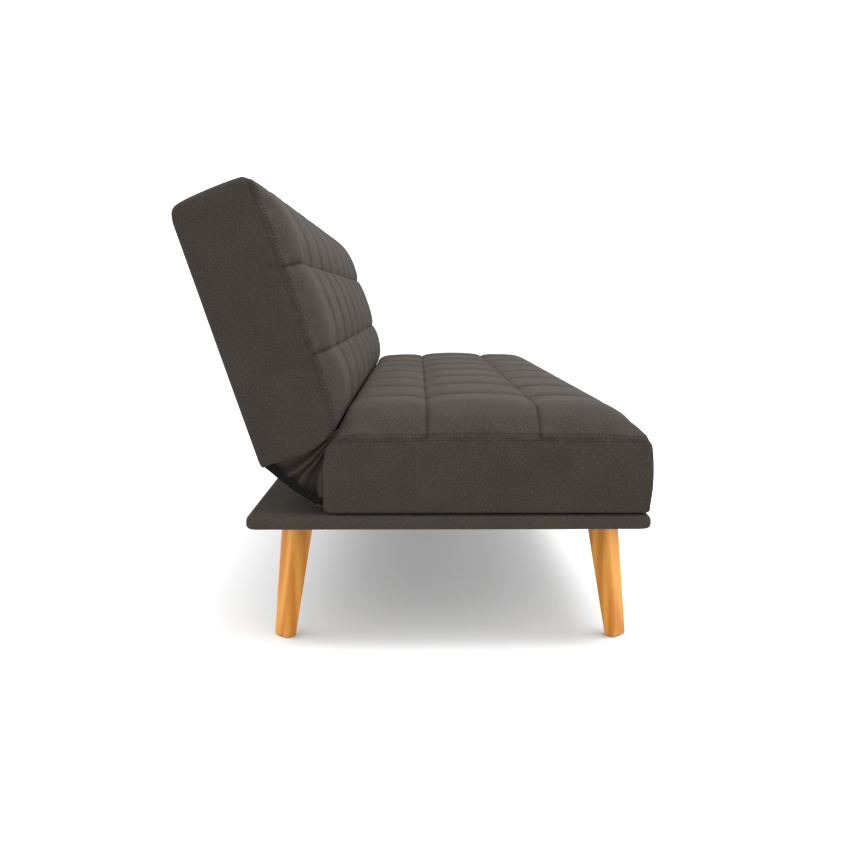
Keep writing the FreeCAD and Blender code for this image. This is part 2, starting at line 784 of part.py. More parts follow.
def seat_block(name, inset, bottom):
    """The seat's crowned block, drawn in by the inset."""
    reach = half_cushion - inset
    along = side_plate(f"{name}_along", base_frame, -reach, reach, seat_side_outline(inset, bottom))
    across = front_plate(
        f"{name}_across", base_frame, "XZ_Plane", -1, S.seat_depth + 1,
        [
            (-reach, bottom),
            (reach, bottom),
            (reach, seat_seam - inset * SLOPE_SHARE),
            (reach - S.crown_run + inset * SLOPE_SHARE, seat_top - inset),
            (S.crown_run - reach - inset * SLOPE_SHARE, seat_top - inset),
            (-reach, seat_seam - inset * SLOPE_SHARE),
        ],
    )
    return common(name, along, across)


def back_side_outline(inset):
    """The back seen from the end: flat rear, crowned front, and a slope where it meets the seat."""
    rear = back_rear - inset
    low = S.hinge_gap + inset
    high = S.back_tall - inset
    crown = -S.back_front - S.back_crown + inset
    toe_level = low + S.toe_rise + inset * SLOPE_SHARE / 2
    return [
        (rear, low),
        (rear, high),
        (-S.back_front + inset * SLOPE_SHARE, high),
        (crown, S.back_tall - S.crown_run - inset * (1 - SLOPE_SHARE)),
        (crown, toe_level + S.toe_slope),
        (-S.toe_start - S.toe_run + inset * 2 * SLOPE_SHARE, toe_level),
        (-S.toe_start + inset * SLOPE_SHARE, low),
    ]


def back_block(name, inset):
    """The back's crowned block, drawn in by the inset."""
    reach = half_cushion - inset
    crown = -S.back_front - S.back_crown + inset
    along = side_plate(f"{name}_along", back_frame, -reach, reach, back_side_outline(inset))
    across = front_plate(
        f"{name}_across", back_frame, "XY_Plane", 0, S.back_tall + 1,
        [
            (-reach, back_rear),
            (-reach, -S.back_front + inset * SLOPE_SHARE),
            (S.crown_run - reach - inset * SLOPE_SHARE, crown),
            (reach - S.crown_run + inset * SLOPE_SHARE, crown),
            (reach, -S.back_front + inset * SLOPE_SHARE),
            (reach, back_rear),
        ],
    )
    doc.recompute()
    edge_radius = S.back_round - inset
    top_rear = edges_where(
        along.Tip.Shape,
        lambda edge: edge.BoundBox.XLength > 100
        and abs(edge.BoundBox.YMax - (back_rear - inset).value) < 0.01
        and abs(edge.BoundBox.ZMax - (S.back_tall - inset).value) < 0.01,
    )
    rounding = along.newObject("PartDesign::Fillet", f"{name}_top_rear")
    rounding.Base = (along.Group[-2], top_rear)
    bind(rounding, "Radius", edge_radius)
    along.Tip = rounding
    doc.recompute()
    return common(name, along, across)


def hinge_rooms(name, frame, low, high):
    """One opening at each end of a cushion for the hinge inside it, between two corners given per side."""
    rooms = []
    for label, side in SIDES:
        x_low, x_high = layer(side, slot_inner, slot_outer)
        rooms.append(box(f"{name}_{label}", frame, (x_low, *low), (x_high, *high)))
    return rooms


seat_rooms = hinge_rooms("seat_hinge_room", base_frame,
                         (pivot_behind - S.pawl_reach - 45, seat_bottom + 50),
                         (S.seat_depth + 1, pivot_up + S.sector_radius + 8))
back_rooms = hinge_rooms("back_hinge_room", back_frame,
                         (-S.sector_radius - 3, 0), (back_inner_rear, S.room_round_hinge))

seat_outer = seat_block("seat_outer", as_size(0), seat_bottom)
seat_cavity = seat_block("seat_cavity", S.cover_thick, seat_bottom - 1)
keep("seat_cover", cut("seat_cover", seat_outer, [seat_cavity] + seat_rooms))
seat_filling = seat_block("seat_filling", S.cover_thick, seat_bottom)
below_foam = box("below_seat_foam", base_frame, (-half_length, 0, seat_bottom - 1),
                 (half_length, S.seat_depth, seat_foam_low))
keep("seat_foam", cut("seat_foam", seat_filling, [below_foam] + seat_rooms))
keep("seat_felt", box("seat_felt_sheet", base_frame,
                      (1 - end_rail_inner, rail_low + 1, seat_felt_low),
                      (end_rail_inner - 1, S.seat_depth - rail_low - S.spring_room, seat_foam_low)))

back_outer = back_block("back_outer", as_size(0))
back_cavity = back_block("back_cavity", S.cover_thick)
keep("back_cover", cut("back_cover", back_outer, [back_cavity] + back_rooms))
back_filling = back_block("back_filling", S.cover_thick)
behind_foam = box("behind_back_foam", back_frame, (-half_length, back_foam_rear, 0),
                  (half_length, back_rear, S.back_tall))
keep("back_foam", cut("back_foam", back_filling, [behind_foam] + back_rooms))
keep("back_felt", box("back_felt_sheet", back_frame,
                      (1 - end_rail_inner, back_foam_rear, back_rail_low + 1),
                      (end_rail_inner - 1, back_felt_rear, back_rail_high - 1)))


# ---------------------------------------------------------------- back frame

back_end_outer = arm_inner
back_end_inner = back_end_outer - S.rail_thick
back_corner_places = [
    (back_rail_front + part * S.back_rail_deep, row)
    for row in (back_rail_low + S.rail_thick / 2, back_rail_high - S.rail_thick / 2)
    for part in (0.3, 0.8)
]
back_frame_screws = keep(
    "back_frame_screws",
    feature("back_frame_screws", corner_screws(back_frame, back_corner_places, back_end_outer)),
)
for label, along in (("back_rail_bottom", back_rail_low), ("back_rail_top", back_rail_high - S.rail_thick)):
    rail = box(f"{label}_blank", back_frame, (-back_end_inner, back_rail_front, along),
               (back_end_inner, back_inner_rear, along + S.rail_thick))
    keep(label, cut(label, rail, [back_frame_screws]))
for name, side in SIDES:
    label = f"back_end_rail_{name}"
    x_low, x_high = layer(side, back_end_inner, back_end_outer)
    rail = box(f"{label}_blank", back_frame, (x_low, back_rail_front, back_rail_low),
               (x_high, back_inner_rear, back_rail_high))
    keep(label, cut(label, rail, [back_arm_screws, back_frame_screws]))
uprights = [
    box(f"back_upright_{number}", back_frame,
        (place - S.rail_thick / 2, back_rail_front + S.cross_drop, back_rail_low + S.rail_thick),
        (place + S.rail_thick / 2, back_inner_rear, back_rail_high - S.rail_thick))
    for number, place in enumerate((-S.cross_spread, S.cross_spread))
]
keep("back_uprights", group("back_uprights", uprights))


# ---------------------------------------------------------------- hinges

pawl_pin_behind = -S.pawl_reach * cosine(S.pawl_bearing)
pawl_pin_up = -S.pawl_reach * sine(S.pawl_bearing)
open_dip = S.pawl_dip + S.pawl_swing


def along_pawl(distance, across, dip):
    """A point of the pawl, from the pivot, when its nose points down by the dip."""
    behind = pawl_pin_behind + distance * cosine(dip) + across * sine(dip)
    up = pawl_pin_up - distance * sine(dip) + across * cosine(dip)
    return behind, up


def make_seat_plate(name, side):
    """The fixed hinge plate: a foot on the seat's end rail, with bosses for the pivot and the pawl."""
    x_low, x_high = layer(side, plate_inner, plate_outer)
    label = f"hinge_seat_plate_{name}"
    foot = side_plate(f"{label}_foot", pivot_frame, x_low, x_high, [
        (-131, seat_plate_low), (-45, seat_plate_low), (17, -10),
        (4, 18), (-52, 3), (-131, seat_plate_low + 54)])
    pivot_boss = rod(f"{label}_boss", pivot_frame, x_low, x_high, 0, 0, S.boss_radius)
    pawl_boss = rod(f"{label}_pawl_boss", pivot_frame, x_low, x_high,
                    pawl_pin_behind, pawl_pin_up, S.boss_radius * 0.6)
    pivot_hole = rod(f"{label}_hole", pivot_frame, x_low - 1, x_high + 1, 0, 0, S.pivot_radius)
    pin_hole = rod(f"{label}_pin_hole", pivot_frame, x_low - 1, x_high + 1,
                   pawl_pin_behind, pawl_pin_up, S.pin_radius)
    blank = fuse(f"{label}_blank", [foot, pivot_boss, pawl_boss])
    return keep(label, cut(label, blank, [pivot_hole, pin_hole, seat_plate_screws]))


def notch_box(label, angle, x_low, x_high):
    """One notch of the toothed sector, for the recline angle at which the pawl's nose drops into it."""
    start_behind, start_up = along_pawl(S.pawl_length - 16, -16, S.pawl_dip)
    turned_behind = start_behind * cosine(angle) - start_up * sine(angle)
    turned_up = start_behind * sine(angle) + start_up * cosine(angle)
    item = doc.addObject("Part::Box", label)
    bind(item, "Length", x_high - x_low + 2)
    bind(item, "Width", 16 + S.notch_gap)
    bind(item, "Height", 16 + S.nose_half + S.notch_gap)
    tilt = angle - S.pawl_dip
    place = pivot_frame.point(x_low - 1, turned_behind, turned_up)
    stand(item, place, Rotation(Vector(1, 0, 0), tilt.value))
    bind(item, "Placement.Rotation.Angle", tilt)
    return item


def make_back_arm(name, side):
    """The moving hinge arm: a strip on the back's end rail and a toothed sector round the pivot."""
    x_low, x_high = layer(side, arm_inner, arm_outer)
    label = f"hinge_back_arm_{name}"
    strip_rear = back_rail_front + arm_strip_wide
    strip = side_plate(f"{label}_strip", back_frame, x_low, x_high, [
        (-17, 14), (back_rail_front, 60), (back_rail_front, 165),
        (strip_rear, 165), (strip_rear, 52), (strip_rear - 38, -6), (0, 0)])
    sector = rod(f"{label}_sector", pivot_frame, x_low, x_high, 0, 0, S.sector_radius)
    hole = rod(f"{label}_hole", pivot_frame, x_low - 1, x_high + 1, 0, 0,
               S.pivot_radius + S.running_gap)
    flat_angle = 90 - S.back_lean
    angles = [flat_angle, flat_angle / 2] + [-S.release_travel * part for part in (0, 1 / 3, 2 / 3, 1)]
    notches = [notch_box(f"{label}_notch_{number}", angle, x_low, x_high)
               for number, angle in enumerate(angles)]
    blank = fuse(f"{label}_blank", [strip, sector])
    return keep(label, cut(label, blank, [hole, back_arm_screws] + notches))


def make_pawl(name, side):
    """The pawl, lifted clear of the teeth as the release holds it while the back moves."""
    x_low, x_high = layer(side, arm_inner, arm_outer)
    label = f"pawl_{name}"
    corners = [(-14, -4), (0, -S.pawl_half), (20, -5), (S.pawl_length, -S.nose_half),
               (S.pawl_length, S.nose_half), (16, S.nose_half), (0, S.pawl_half), (-14, 4)]
    lever = side_plate(f"{label}_lever", pivot_frame, x_low, x_high,
                       [along_pawl(distance, across, open_dip) for distance, across in corners])
    eye = rod(f"{label}_eye", pivot_frame, x_low, x_high, pawl_pin_behind, pawl_pin_up, S.pawl_eye)
    hole = rod(f"{label}_hole", pivot_frame, x_low - 1, x_high + 1, pawl_pin_behind, pawl_pin_up,
               S.pin_radius + S.running_gap)
    return keep(label, cut(label, fuse(f"{label}_blank", [lever, eye]), [hole]))


def make_pivot(name, side):
    """The pivot bolt through both plates, and its nut on the inside."""
    shank = rod(f"pivot_shank_{name}", pivot_frame, *layer(side, plate_inner - 8, arm_outer + 1),
                0, 0, S.pivot_radius)
    head = rod(f"pivot_head_{name}", pivot_frame, *layer(side, arm_outer + S.layer_gap, arm_outer + 7),
               0, 0, S.pivot_radius + 4)
    bolt = keep(f"pivot_bolt_{name}", fuse(f"pivot_bolt_{name}", [shank, head]))
    x_low, x_high = layer(side, plate_inner - 6, plate_inner)
    prism = doc.addObject("Part::Prism", f"pivot_nut_blank_{name}")
    prism.Polygon = 6
    bind(prism, "Circumradius", S.pivot_radius + 4)
    bind(prism, "Height", x_high - x_low)
    lay_along_x(prism, pivot_frame, x_low, 0, 0)
    keep(f"pivot_nut_{name}", cut(f"pivot_nut_{name}", prism, [bolt]))


def make_pawl_pin(name, side):
    """The rivet that the pawl swings on, headed at both ends."""
    ends = [(plate_inner - 2, arm_outer + 9, S.pin_radius),
            (plate_inner - 3, plate_inner, S.pin_radius + 3),
            (arm_outer + 7, arm_outer + 9, S.pin_radius + 3)]
    rods = [rod(f"pawl_pin_{name}_{number}", pivot_frame, *layer(side, inner, outer),
                pawl_pin_behind, pawl_pin_up, radius)
            for number, (inner, outer, radius) in enumerate(ends)]
    return fuse(f"pawl_pin_{name}", rods)


def make_pawl_spring(name, side):
    """The coil spring round the pawl's pin."""
    coil_radius = S.pin_radius + S.coil_wire + 1
    x_low, x_high = layer(side, arm_outer + 1.4, arm_outer + 6)
    coil = doc.addObject("Part::Helix", f"pawl_spring_path_{name}")
    bind(coil, "Pitch", (x_high - x_low) / 3)
    bind(coil, "Height", x_high - x_low)
    bind(coil, "Radius", coil_radius)
    ring = doc.addObject("Part::RegularPolygon", f"pawl_spring_wire_{name}")
    ring.Polygon = 4
    bind(ring, "Circumradius", S.coil_wire)
    upright = Rotation(Vector(1, 0, 0), 90)
    ring.Placement = Placement(Vector(coil_radius.value, 0, 0), upright * Rotation(Vector(0, 0, 1), 45))
    bind(ring, "Placement.Base.x", coil_radius)
    sweep = doc.addObject("Part::Sweep", f"pawl_spring_{name}")
    sweep.Sections = [ring]
    sweep.Spine = (coil, [])
    sweep.Solid = True
    sweep.Frenet = True
    lay_along_x(sweep, pivot_frame, x_low, pawl_pin_behind, pawl_pin_up)
    return sweep


pawl_pins = []
pawl_springs = []
for name, side in SIDES:
    make_seat_plate(name, side)
    make_back_arm(name, side)
    make_pawl(name, side)
    make_pivot(name, side)
    pawl_pins.append(make_pawl_pin(name, side))
    pawl_springs.append(make_pawl_spring(name, side))
keep("pawl_pins", group("pawl_pins", pawl_pins))
keep("pawl_springs", group("pawl_springs", pawl_springs))


# ---------------------------------------------------------------- fabric across the crease

clear = as_size(0.6)


def back_edge(behind, along):
    """A point given in the leaning back, as behind and up from the pivot."""
    return behind * lean_cosine + along * lean_sine, along * lean_cosine - behind * lean_sine


seat_rear = S.seat_depth - pivot_behind + clear
seat_foot = seat_bottom - pivot_up
under_back = S.hinge_gap - clear
for name, side in SIDES:
    x_low, x_high = layer(side, half_length - S.gusset_inset - S.gusset_thick,
                          half_length - S.gusset_inset)
    keep(f"gusset_{name}", side_plate(f"gusset_{name}", pivot_frame, x_low, x_high, [
        (seat_rear, as_size(-8)),
        (seat_rear, seat_foot + 14),
        back_edge(back_rear - 12, under_back),
        back_edge(as_size(14), under_back),
    ]))
edge_behind, edge_up = back_edge(back_rear - 4, under_back)
lining_reach = half_length - S.gusset_inset - S.gusset_thick - 2
keep("hinge_lining", side_plate("hinge_lining", pivot_frame, -lining_reach, lining_reach, [
    (seat_rear, seat_foot + 2),
    (edge_behind, edge_up - 2),
    (edge_behind, edge_up),
    (seat_rear, seat_foot + 4),
]))


# ---------------------------------------------------------------- checks and files

doc.recompute()
for item in doc.Objects:
    if "Invalid" in item.State or "Error" in item.State:
        raise RuntimeError(f"{item.Label} failed to compute: {item.State}")
for label, item in nodes.items():
    shape = item.Shape
    if shape.isNull() or not shape.isValid() or not shape.Solids:
        raise RuntimeError(f"{label} has no valid solid")

os.makedirs("parts", exist_ok=True)
for label, item in sorted(nodes.items()):
    item.Shape.exportStep(f"parts/{label}.step")
    print(label, len(item.Shape.Solids), round(item.Shape.Volume / 1000, 1), "cm3")
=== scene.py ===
# %% [markdown]
# # A quilted futon sofa bed
# The sofa is a thin upholstered platform on four wooden legs, a quilted seat, and a quilted back
# that reclines flat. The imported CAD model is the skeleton. The soft pieces that show are made
# here: two stuffed covers, a wrapped board, two folded gussets and a strip of lining.

# %% Load the frame
import json
import math

import bpy
import numpy as np
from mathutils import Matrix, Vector


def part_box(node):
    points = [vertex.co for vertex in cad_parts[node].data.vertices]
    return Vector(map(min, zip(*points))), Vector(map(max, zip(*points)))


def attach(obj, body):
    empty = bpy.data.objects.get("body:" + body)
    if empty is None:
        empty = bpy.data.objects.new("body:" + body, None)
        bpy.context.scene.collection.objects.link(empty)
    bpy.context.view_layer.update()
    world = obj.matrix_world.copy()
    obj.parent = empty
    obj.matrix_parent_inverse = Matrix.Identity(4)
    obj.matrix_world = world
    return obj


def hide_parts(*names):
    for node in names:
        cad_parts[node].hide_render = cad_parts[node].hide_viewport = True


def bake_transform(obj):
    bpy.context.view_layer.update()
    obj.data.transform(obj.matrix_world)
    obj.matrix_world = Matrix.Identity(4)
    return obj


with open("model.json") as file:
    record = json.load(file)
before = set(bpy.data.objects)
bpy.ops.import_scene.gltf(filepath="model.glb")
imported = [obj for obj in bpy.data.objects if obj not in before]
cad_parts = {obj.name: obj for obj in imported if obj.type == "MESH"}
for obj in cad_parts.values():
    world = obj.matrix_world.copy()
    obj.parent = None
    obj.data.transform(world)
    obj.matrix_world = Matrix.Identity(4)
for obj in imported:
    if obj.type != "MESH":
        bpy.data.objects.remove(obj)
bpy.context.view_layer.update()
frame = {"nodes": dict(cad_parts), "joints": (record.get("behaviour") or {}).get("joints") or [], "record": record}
joints = {joint["name"]: joint for joint in frame["joints"]}

# %% [markdown]
# ## Sizes from the frame
# The cushions take their length, depth and place from the CAD pieces that they stand for. The
# seat's side height, the back's lean and its measures from the pivot are stated, because a box
# round a crowned or leaning cushion doesn't show them.

# %% Sizes
MM = 0.001
seat_box = [Vector(corner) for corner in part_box("seat_cover")]
platform_box = [Vector(corner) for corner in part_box("platform_cover")]
pivot = Vector(joints["back_recline"]["pos_m"])
BACK_LEAN = math.radians(18.5)
SEAT_SIDE = 134.5 * MM
SEAT_HANG = 4.5 * MM
BACK_THICK = 150 * MM
BACK_BEHIND = 110.5 * MM
BACK_LOW = 3 * MM
BACK_TOP = 470 * MM
PANELS_ALONG = 8
cushion_length = seat_box[1].x - seat_box[0].x
seat_depth = seat_box[1].y - seat_box[0].y
print("seat", round(cushion_length, 3), round(seat_depth, 3))
print("pivot", tuple(round(c, 4) for c in pivot))


# %% [markdown]
# ## Where things go
# The seat is drawn in its own measures: along the sofa, back from the front, and up. The back uses
# the same three lying down, so one recipe makes both cushions, and two functions put them in the
# room. A third turns a place in the room back into the back's measures.

# %% Places
def seat_place(points):
    """Seat measures (along, back, up) as places in the room."""
    out = points.copy()
    out[:, 1] += seat_box[0].y
    out[:, 2] += seat_box[0].z - SEAT_HANG
    return out


def back_place(points):
    """Back measures (along, up the back, forward from its rear face) as places in the room."""
    behind = BACK_BEHIND - points[:, 2]
    up_back = points[:, 1]
    out = points.copy()
    out[:, 1] = pivot.y + behind * math.cos(BACK_LEAN) + up_back * math.sin(BACK_LEAN)
    out[:, 2] = pivot.z - behind * math.sin(BACK_LEAN) + up_back * math.cos(BACK_LEAN)
    return out


def from_pivot(points):
    """How far points lie behind the pivot, and how far up the leaning back."""
    y = points[:, 1] - pivot.y
    z = points[:, 2] - pivot.z
    behind = y * math.cos(BACK_LEAN) - z * math.sin(BACK_LEAN)
    up_back = y * math.sin(BACK_LEAN) + z * math.cos(BACK_LEAN)
    return behind, up_back


def new_item(name, data):
    """An object that shows some data, at the origin of the scene."""
    item = bpy.data.objects.new(name, data)
    bpy.context.scene.collection.objects.link(item)
    return item


def new_object(name, vertices, faces, uvs):
    """A mesh object at the origin, with a cloth UV for each face corner."""
    mesh = bpy.data.meshes.new(name)
    mesh.from_pydata([tuple(v) for v in vertices], [], faces)
    layer = mesh.uv_layers.new(name="cloth")
    layer.data.foreach_set("uv", np.asarray(uvs, dtype=np.float32).ravel())
    mesh.validate()
    mesh.shade_smooth()
    return new_item(name, mesh)


def evaluated(item):
    return item.evaluated_get(bpy.context.evaluated_depsgraph_get())


def apply_modifiers(item):
    """Gives an item the mesh that its modifiers make, and takes them off."""
    mesh = bpy.data.meshes.new_from_object(evaluated(item))
    item.modifiers.clear()
    item.data = mesh
    mesh.shade_smooth()
    return item


# %% [markdown]
# ## Node helpers
# Every finish is a small graph of nodes. These helpers keep each graph short enough to read. They
# add a node with its settings, do arithmetic between sockets, and make ramps of colours and bumps.

# %% Material helpers
def new_material(name):
    """An empty material with its shader, and the node tree to build in."""
    material = bpy.data.materials.new(name)
    material.use_nodes = True
    tree = material.node_tree
    shader = tree.nodes["Principled BSDF"]
    return material, tree, shader


def add(tree, kind, settings=None, **inputs):
    """A node of a kind, with attributes from settings and input values by name."""
    node = tree.nodes.new(kind)
    for name, value in (settings or {}).items():
        setattr(node, name, value)
    for name, value in inputs.items():
        node.inputs[name.replace("_", " ")].default_value = value
    return node


def set_inputs(node, values):
    for name, value in values.items():
        node.inputs[name].default_value = value


def stretched(tree, source, output, scale):
    """Coordinates from a node, scaled along each axis."""
    mapping = add(tree, "ShaderNodeMapping", Scale=scale)
    tree.links.new(source.outputs[output], mapping.inputs["Vector"])
    return mapping.outputs["Vector"]


def math_node(tree, operation, first, second):
    """Arithmetic between two sockets or a socket and a number."""
    node = add(tree, "ShaderNodeMath", {"operation": operation})
    for place, value in enumerate((first, second)):
        if isinstance(value, (int, float)):
            node.inputs[place].default_value = value
        else:
            tree.links.new(value, node.inputs[place])
    return node.outputs[0]


def weighted(tree, *parts):
    """The sum of some sockets, each times its weight."""
    products = [math_node(tree, "MULTIPLY", socket, weight) for socket, weight in parts]
    total = products[0]
    for product in products[1:]:
        total = math_node(tree, "ADD", total, product)
    return total


def set_roughness(tree, shader, source, gain, base):
    """Roughness that follows a socket: the base, plus the gain times the socket."""
    level = math_node(tree, "ADD", math_node(tree, "MULTIPLY", source, gain), base)
    tree.links.new(level, shader.inputs["Roughness"])


def ramp(tree, source, stops):
    """A colour ramp from a list of (position, colour)."""
    node = add(tree, "ShaderNodeValToRGB")
    bar = node.color_ramp
    while len(bar.elements) < len(stops):
        bar.elements.new(0.5)
    for element, (position, colour) in zip(bar.elements, stops):
        element.position = position
        element.color = (*colour, 1)
    tree.links.new(source, node.inputs["Fac"])
    return node.outputs["Color"]


def bump(tree, height, strength, distance, shader, before=None):
    """Bump from a height socket, chained after an earlier bump, into the shader's normal."""
    node = add(tree, "ShaderNodeBump", Strength=strength, Distance=distance)
    tree.links.new(height, node.inputs["Height"])
    if before is not None:
        tree.links.new(before.outputs["Normal"], node.inputs["Normal"])
    tree.links.new(node.outputs["Normal"], shader.inputs["Normal"])
    return node


# %% [markdown]
# ## Woven cloth
# The cover is a plain weave of heathered yarn: dark brown grey, with lighter and darker fibres
# mixed in, and slubs where a yarn runs thick. The pattern is measured in metres on the cloth's own
# UV, so the yarns keep their size and turn with each panel. The finest puckers are a bump, held
# beside the seams by an attribute of the mesh. A second attribute paints shade into the seams, a
# near-black line that stands in for the shadow in their creases.

# %% Cloth
YARN = 1.5 * MM
WAVE_LENGTH = math.tau / 20
SLUB = (160, 900)
PUCKER_DEPTH = 7 * MM
# Painted shade: how strongly the seam lines are darkened, and the near-black colour they go towards, for the
# shadow in their creases.
SEAM_PAINTED_SHADE = 0.75
SEAM_SHADE_COLOUR = (0.006, 0.005, 0.0045)


def cloth_coordinates(tree, along, across):
    """The cloth's UV, stretched along one way: a slub is long along its yarn and thin across it."""
    source = add(tree, "ShaderNodeUVMap", {"uv_map": "cloth"})
    return stretched(tree, source, "UV", (along, across, 1))


def noise(tree, vector, scale, detail=3.0, roughness=0.6):
    node = add(tree, "ShaderNodeTexNoise", Scale=scale, Detail=detail, Roughness=roughness)
    tree.links.new(vector, node.inputs["Vector"])
    return node.outputs["Fac"]


def yarn_wave(tree, vector, axis):
    """Yarns that go over and under: the wave repeats every two yarns."""
    node = add(tree, "ShaderNodeTexWave", {"wave_type": "BANDS", "bands_direction": axis},
               Scale=WAVE_LENGTH / (2 * YARN), Distortion=1.6, Detail=1.0, Detail_Scale=2.0)
    tree.links.new(vector, node.inputs["Vector"])
    return node.outputs["Fac"]


def woven_cloth(name, dark, middle, light, puckers_and_seam_shade):
    """Heathered plain weave from three shades of one yarn."""
    material, tree, shader = new_material(name)
    plain = cloth_coordinates(tree, 1, 1)
    slub_along = noise(tree, cloth_coordinates(tree, *SLUB), 1.0, 2.0)
    slub_across = noise(tree, cloth_coordinates(tree, *SLUB[::-1]), 1.0, 2.0)
    fibres = math_node(tree, "MULTIPLY", math_node(tree, "ADD", slub_along, slub_across), 0.5)
    fleck = noise(tree, plain, 420, 2.0, 0.7)
    broad = noise(tree, plain, 9, 3.0)
    mixed = weighted(tree, (fibres, 0.55), (fleck, 0.3), (broad, 0.15))
    colour = ramp(tree, mixed, [(0.36, dark), (0.5, middle), (0.64, light)])
    if puckers_and_seam_shade:
        # Painted shade: the seam lines are mixed towards a near-black colour, for the shadow in the creases.
        line = add(tree, "ShaderNodeAttribute", {"attribute_name": "painted_seam_shade"}).outputs["Fac"]
        shade = add(tree, "ShaderNodeMix", {"data_type": "RGBA"})
        tree.links.new(math_node(tree, "MULTIPLY", line, SEAM_PAINTED_SHADE), shade.inputs["Factor"])
        tree.links.new(colour, shade.inputs["A"])
        shade.inputs["B"].default_value = (*SEAM_SHADE_COLOUR, 1)
        colour = shade.outputs["Result"]
    tree.links.new(colour, shader.inputs["Base Color"])
    set_roughness(tree, shader, fibres, 0.15, 0.82)
    set_inputs(shader, {"Specular IOR Level": 0.1, "Sheen Weight": 0.1, "Sheen Roughness": 0.45,
                        "Sheen Tint": (*light, 1)})
    weave = math_node(tree, "MULTIPLY", yarn_wave(tree, plain, "X"), yarn_wave(tree, plain, "Y"))
    height = math_node(tree, "ADD", weave, math_node(tree, "MULTIPLY", fibres, 0.8))
    yarns = bump(tree, height, 0.5, 0.5 * MM, shader)
    if puckers_and_seam_shade:
        band = add(tree, "ShaderNodeAttribute", {"attribute_name": "near_seam"}).outputs["Fac"]
        gathers = noise(tree, plain, 60, 1.5)
        folds = math_node(tree, "MULTIPLY", gathers, band)
        bump(tree, folds, 0.8, PUCKER_DEPTH, shader, yarns)
    return material


cushion_cloth = woven_cloth(
    "cushion cloth", (0.0158, 0.0128, 0.0106), (0.0293, 0.024, 0.02),
    (0.0496, 0.0415, 0.0352), True)
platform_cloth = woven_cloth(
    "platform cloth", (0.0184, 0.0145, 0.0115), (0.0342, 0.0272, 0.0217),
    (0.0578, 0.047, 0.0382), False)


# %% [markdown]
# ## Smooth and hard finishes
# The legs are lacquered honey-coloured wood with the grain running down them. Hidden pieces get
# the finish that a workshop would leave: raw pine, plywood, zinc plating, drawn wire, felt and
# foam.

# %% Wood, metal and the rest
def object_coordinates(tree, scale):
    return stretched(tree, add(tree, "ShaderNodeTexCoord"), "Object", scale)


def grained_wood(name, stops, stretch, gloss, coat, shine=0.5):
    """Wood with growth bands and fine pores, stretched along the grain."""
    material, tree, shader = new_material(name)
    vector = object_coordinates(tree, stretch)
    bands = add(tree, "ShaderNodeTexWave", {"wave_type": "RINGS", "rings_direction": "Z"},
                Scale=14.0, Distortion=7.0, Detail=3.0, Detail_Scale=1.2)
    tree.links.new(vector, bands.inputs["Vector"])
    drift = noise(tree, vector, 9, 4.0)
    pores = noise(tree, object_coordinates(tree, tuple(6 * part for part in stretch)), 45, 3.0, 0.7)
    mixed = weighted(tree, (bands.outputs["Fac"], 0.42), (drift, 0.4), (pores, 0.18))
    tree.links.new(ramp(tree, mixed, stops), shader.inputs["Base Color"])
    set_roughness(tree, shader, pores, 0.2, gloss)
    set_inputs(shader, {"Specular IOR Level": shine, "Coat Weight": coat, "Coat Roughness": 0.25})
    bump(tree, pores, 0.25, 0.2 * MM, shader)
    return material


def speckled(name, first, second, scale, rough, metal=0.0, grain=0.2, depth=0.3 * MM, shine=0.5):
    """A finish of two close shades, with a fine bump of the same grain."""
    material, tree, shader = new_material(name)
    vector = object_coordinates(tree, (1, 1, 1))
    spots = noise(tree, vector, scale, 4.0)
    tree.links.new(ramp(tree, spots, [(0.35, first), (0.65, second)]), shader.inputs["Base Color"])
    set_roughness(tree, shader, spots, 0.25, rough - 0.12)
    set_inputs(shader, {"Metallic": metal, "Specular IOR Level": shine})
    bump(tree, spots, grain, depth, shader)
    return material


GRAIN_UPRIGHT = (1.0, 1.0, 0.09)
GRAIN_ALONG = (0.1, 1.0, 1.0)
FINISHES = {
    "cushion_fabric": cushion_cloth,
    "platform_fabric": platform_cloth,
    "honey_wood": grained_wood(
        "honey lacquered wood",
        [(0.3, (0.37, 0.13, 0.009)), (0.5, (0.44, 0.172, 0.016)), (0.72, (0.5, 0.22, 0.03))],
        GRAIN_UPRIGHT, 0.4, 0.04, 0.25),
    "pine_timber": grained_wood(
        "raw pine", [(0.3, (0.5, 0.33, 0.16)), (0.7, (0.68, 0.5, 0.28))], GRAIN_ALONG, 0.6, 0.0),
    "plywood": grained_wood(
        "plywood", [(0.3, (0.42, 0.27, 0.13)), (0.7, (0.6, 0.42, 0.22))], GRAIN_ALONG, 0.6, 0.0),
    "zinc_steel": speckled(
        "zinc plated steel", (0.5, 0.52, 0.53), (0.62, 0.64, 0.64), 120, 0.38, 1.0),
    "spring_steel": speckled(
        "drawn spring wire", (0.2, 0.21, 0.22), (0.32, 0.33, 0.35), 200, 0.42, 1.0),
    "black_lining": speckled(
        "black non-woven lining", (0.003, 0.003, 0.003), (0.009, 0.0085, 0.008), 700, 0.95,
        grain=0.6, depth=0.5 * MM, shine=0.03),
    "foam": speckled("cream foam", (0.72, 0.66, 0.46), (0.8, 0.75, 0.56), 500, 0.92, grain=0.5),
    "spring_felt": speckled(
        "grey felt", (0.12, 0.12, 0.13), (0.3, 0.3, 0.31), 350, 0.93, grain=0.6, depth=0.6 * MM),
    "nylon": speckled("dark nylon", (0.02, 0.02, 0.02), (0.035, 0.035, 0.035), 300, 0.5),
}
FINISHES["rubber_spacer"] = FINISHES["nylon"]
thread = speckled(
    "sewing thread", (0.006, 0.005, 0.0045), (0.012, 0.01, 0.009), 900, 0.85,
    grain=0.3, depth=0.1 * MM, shine=0.2)
print("finishes", list(FINISHES))

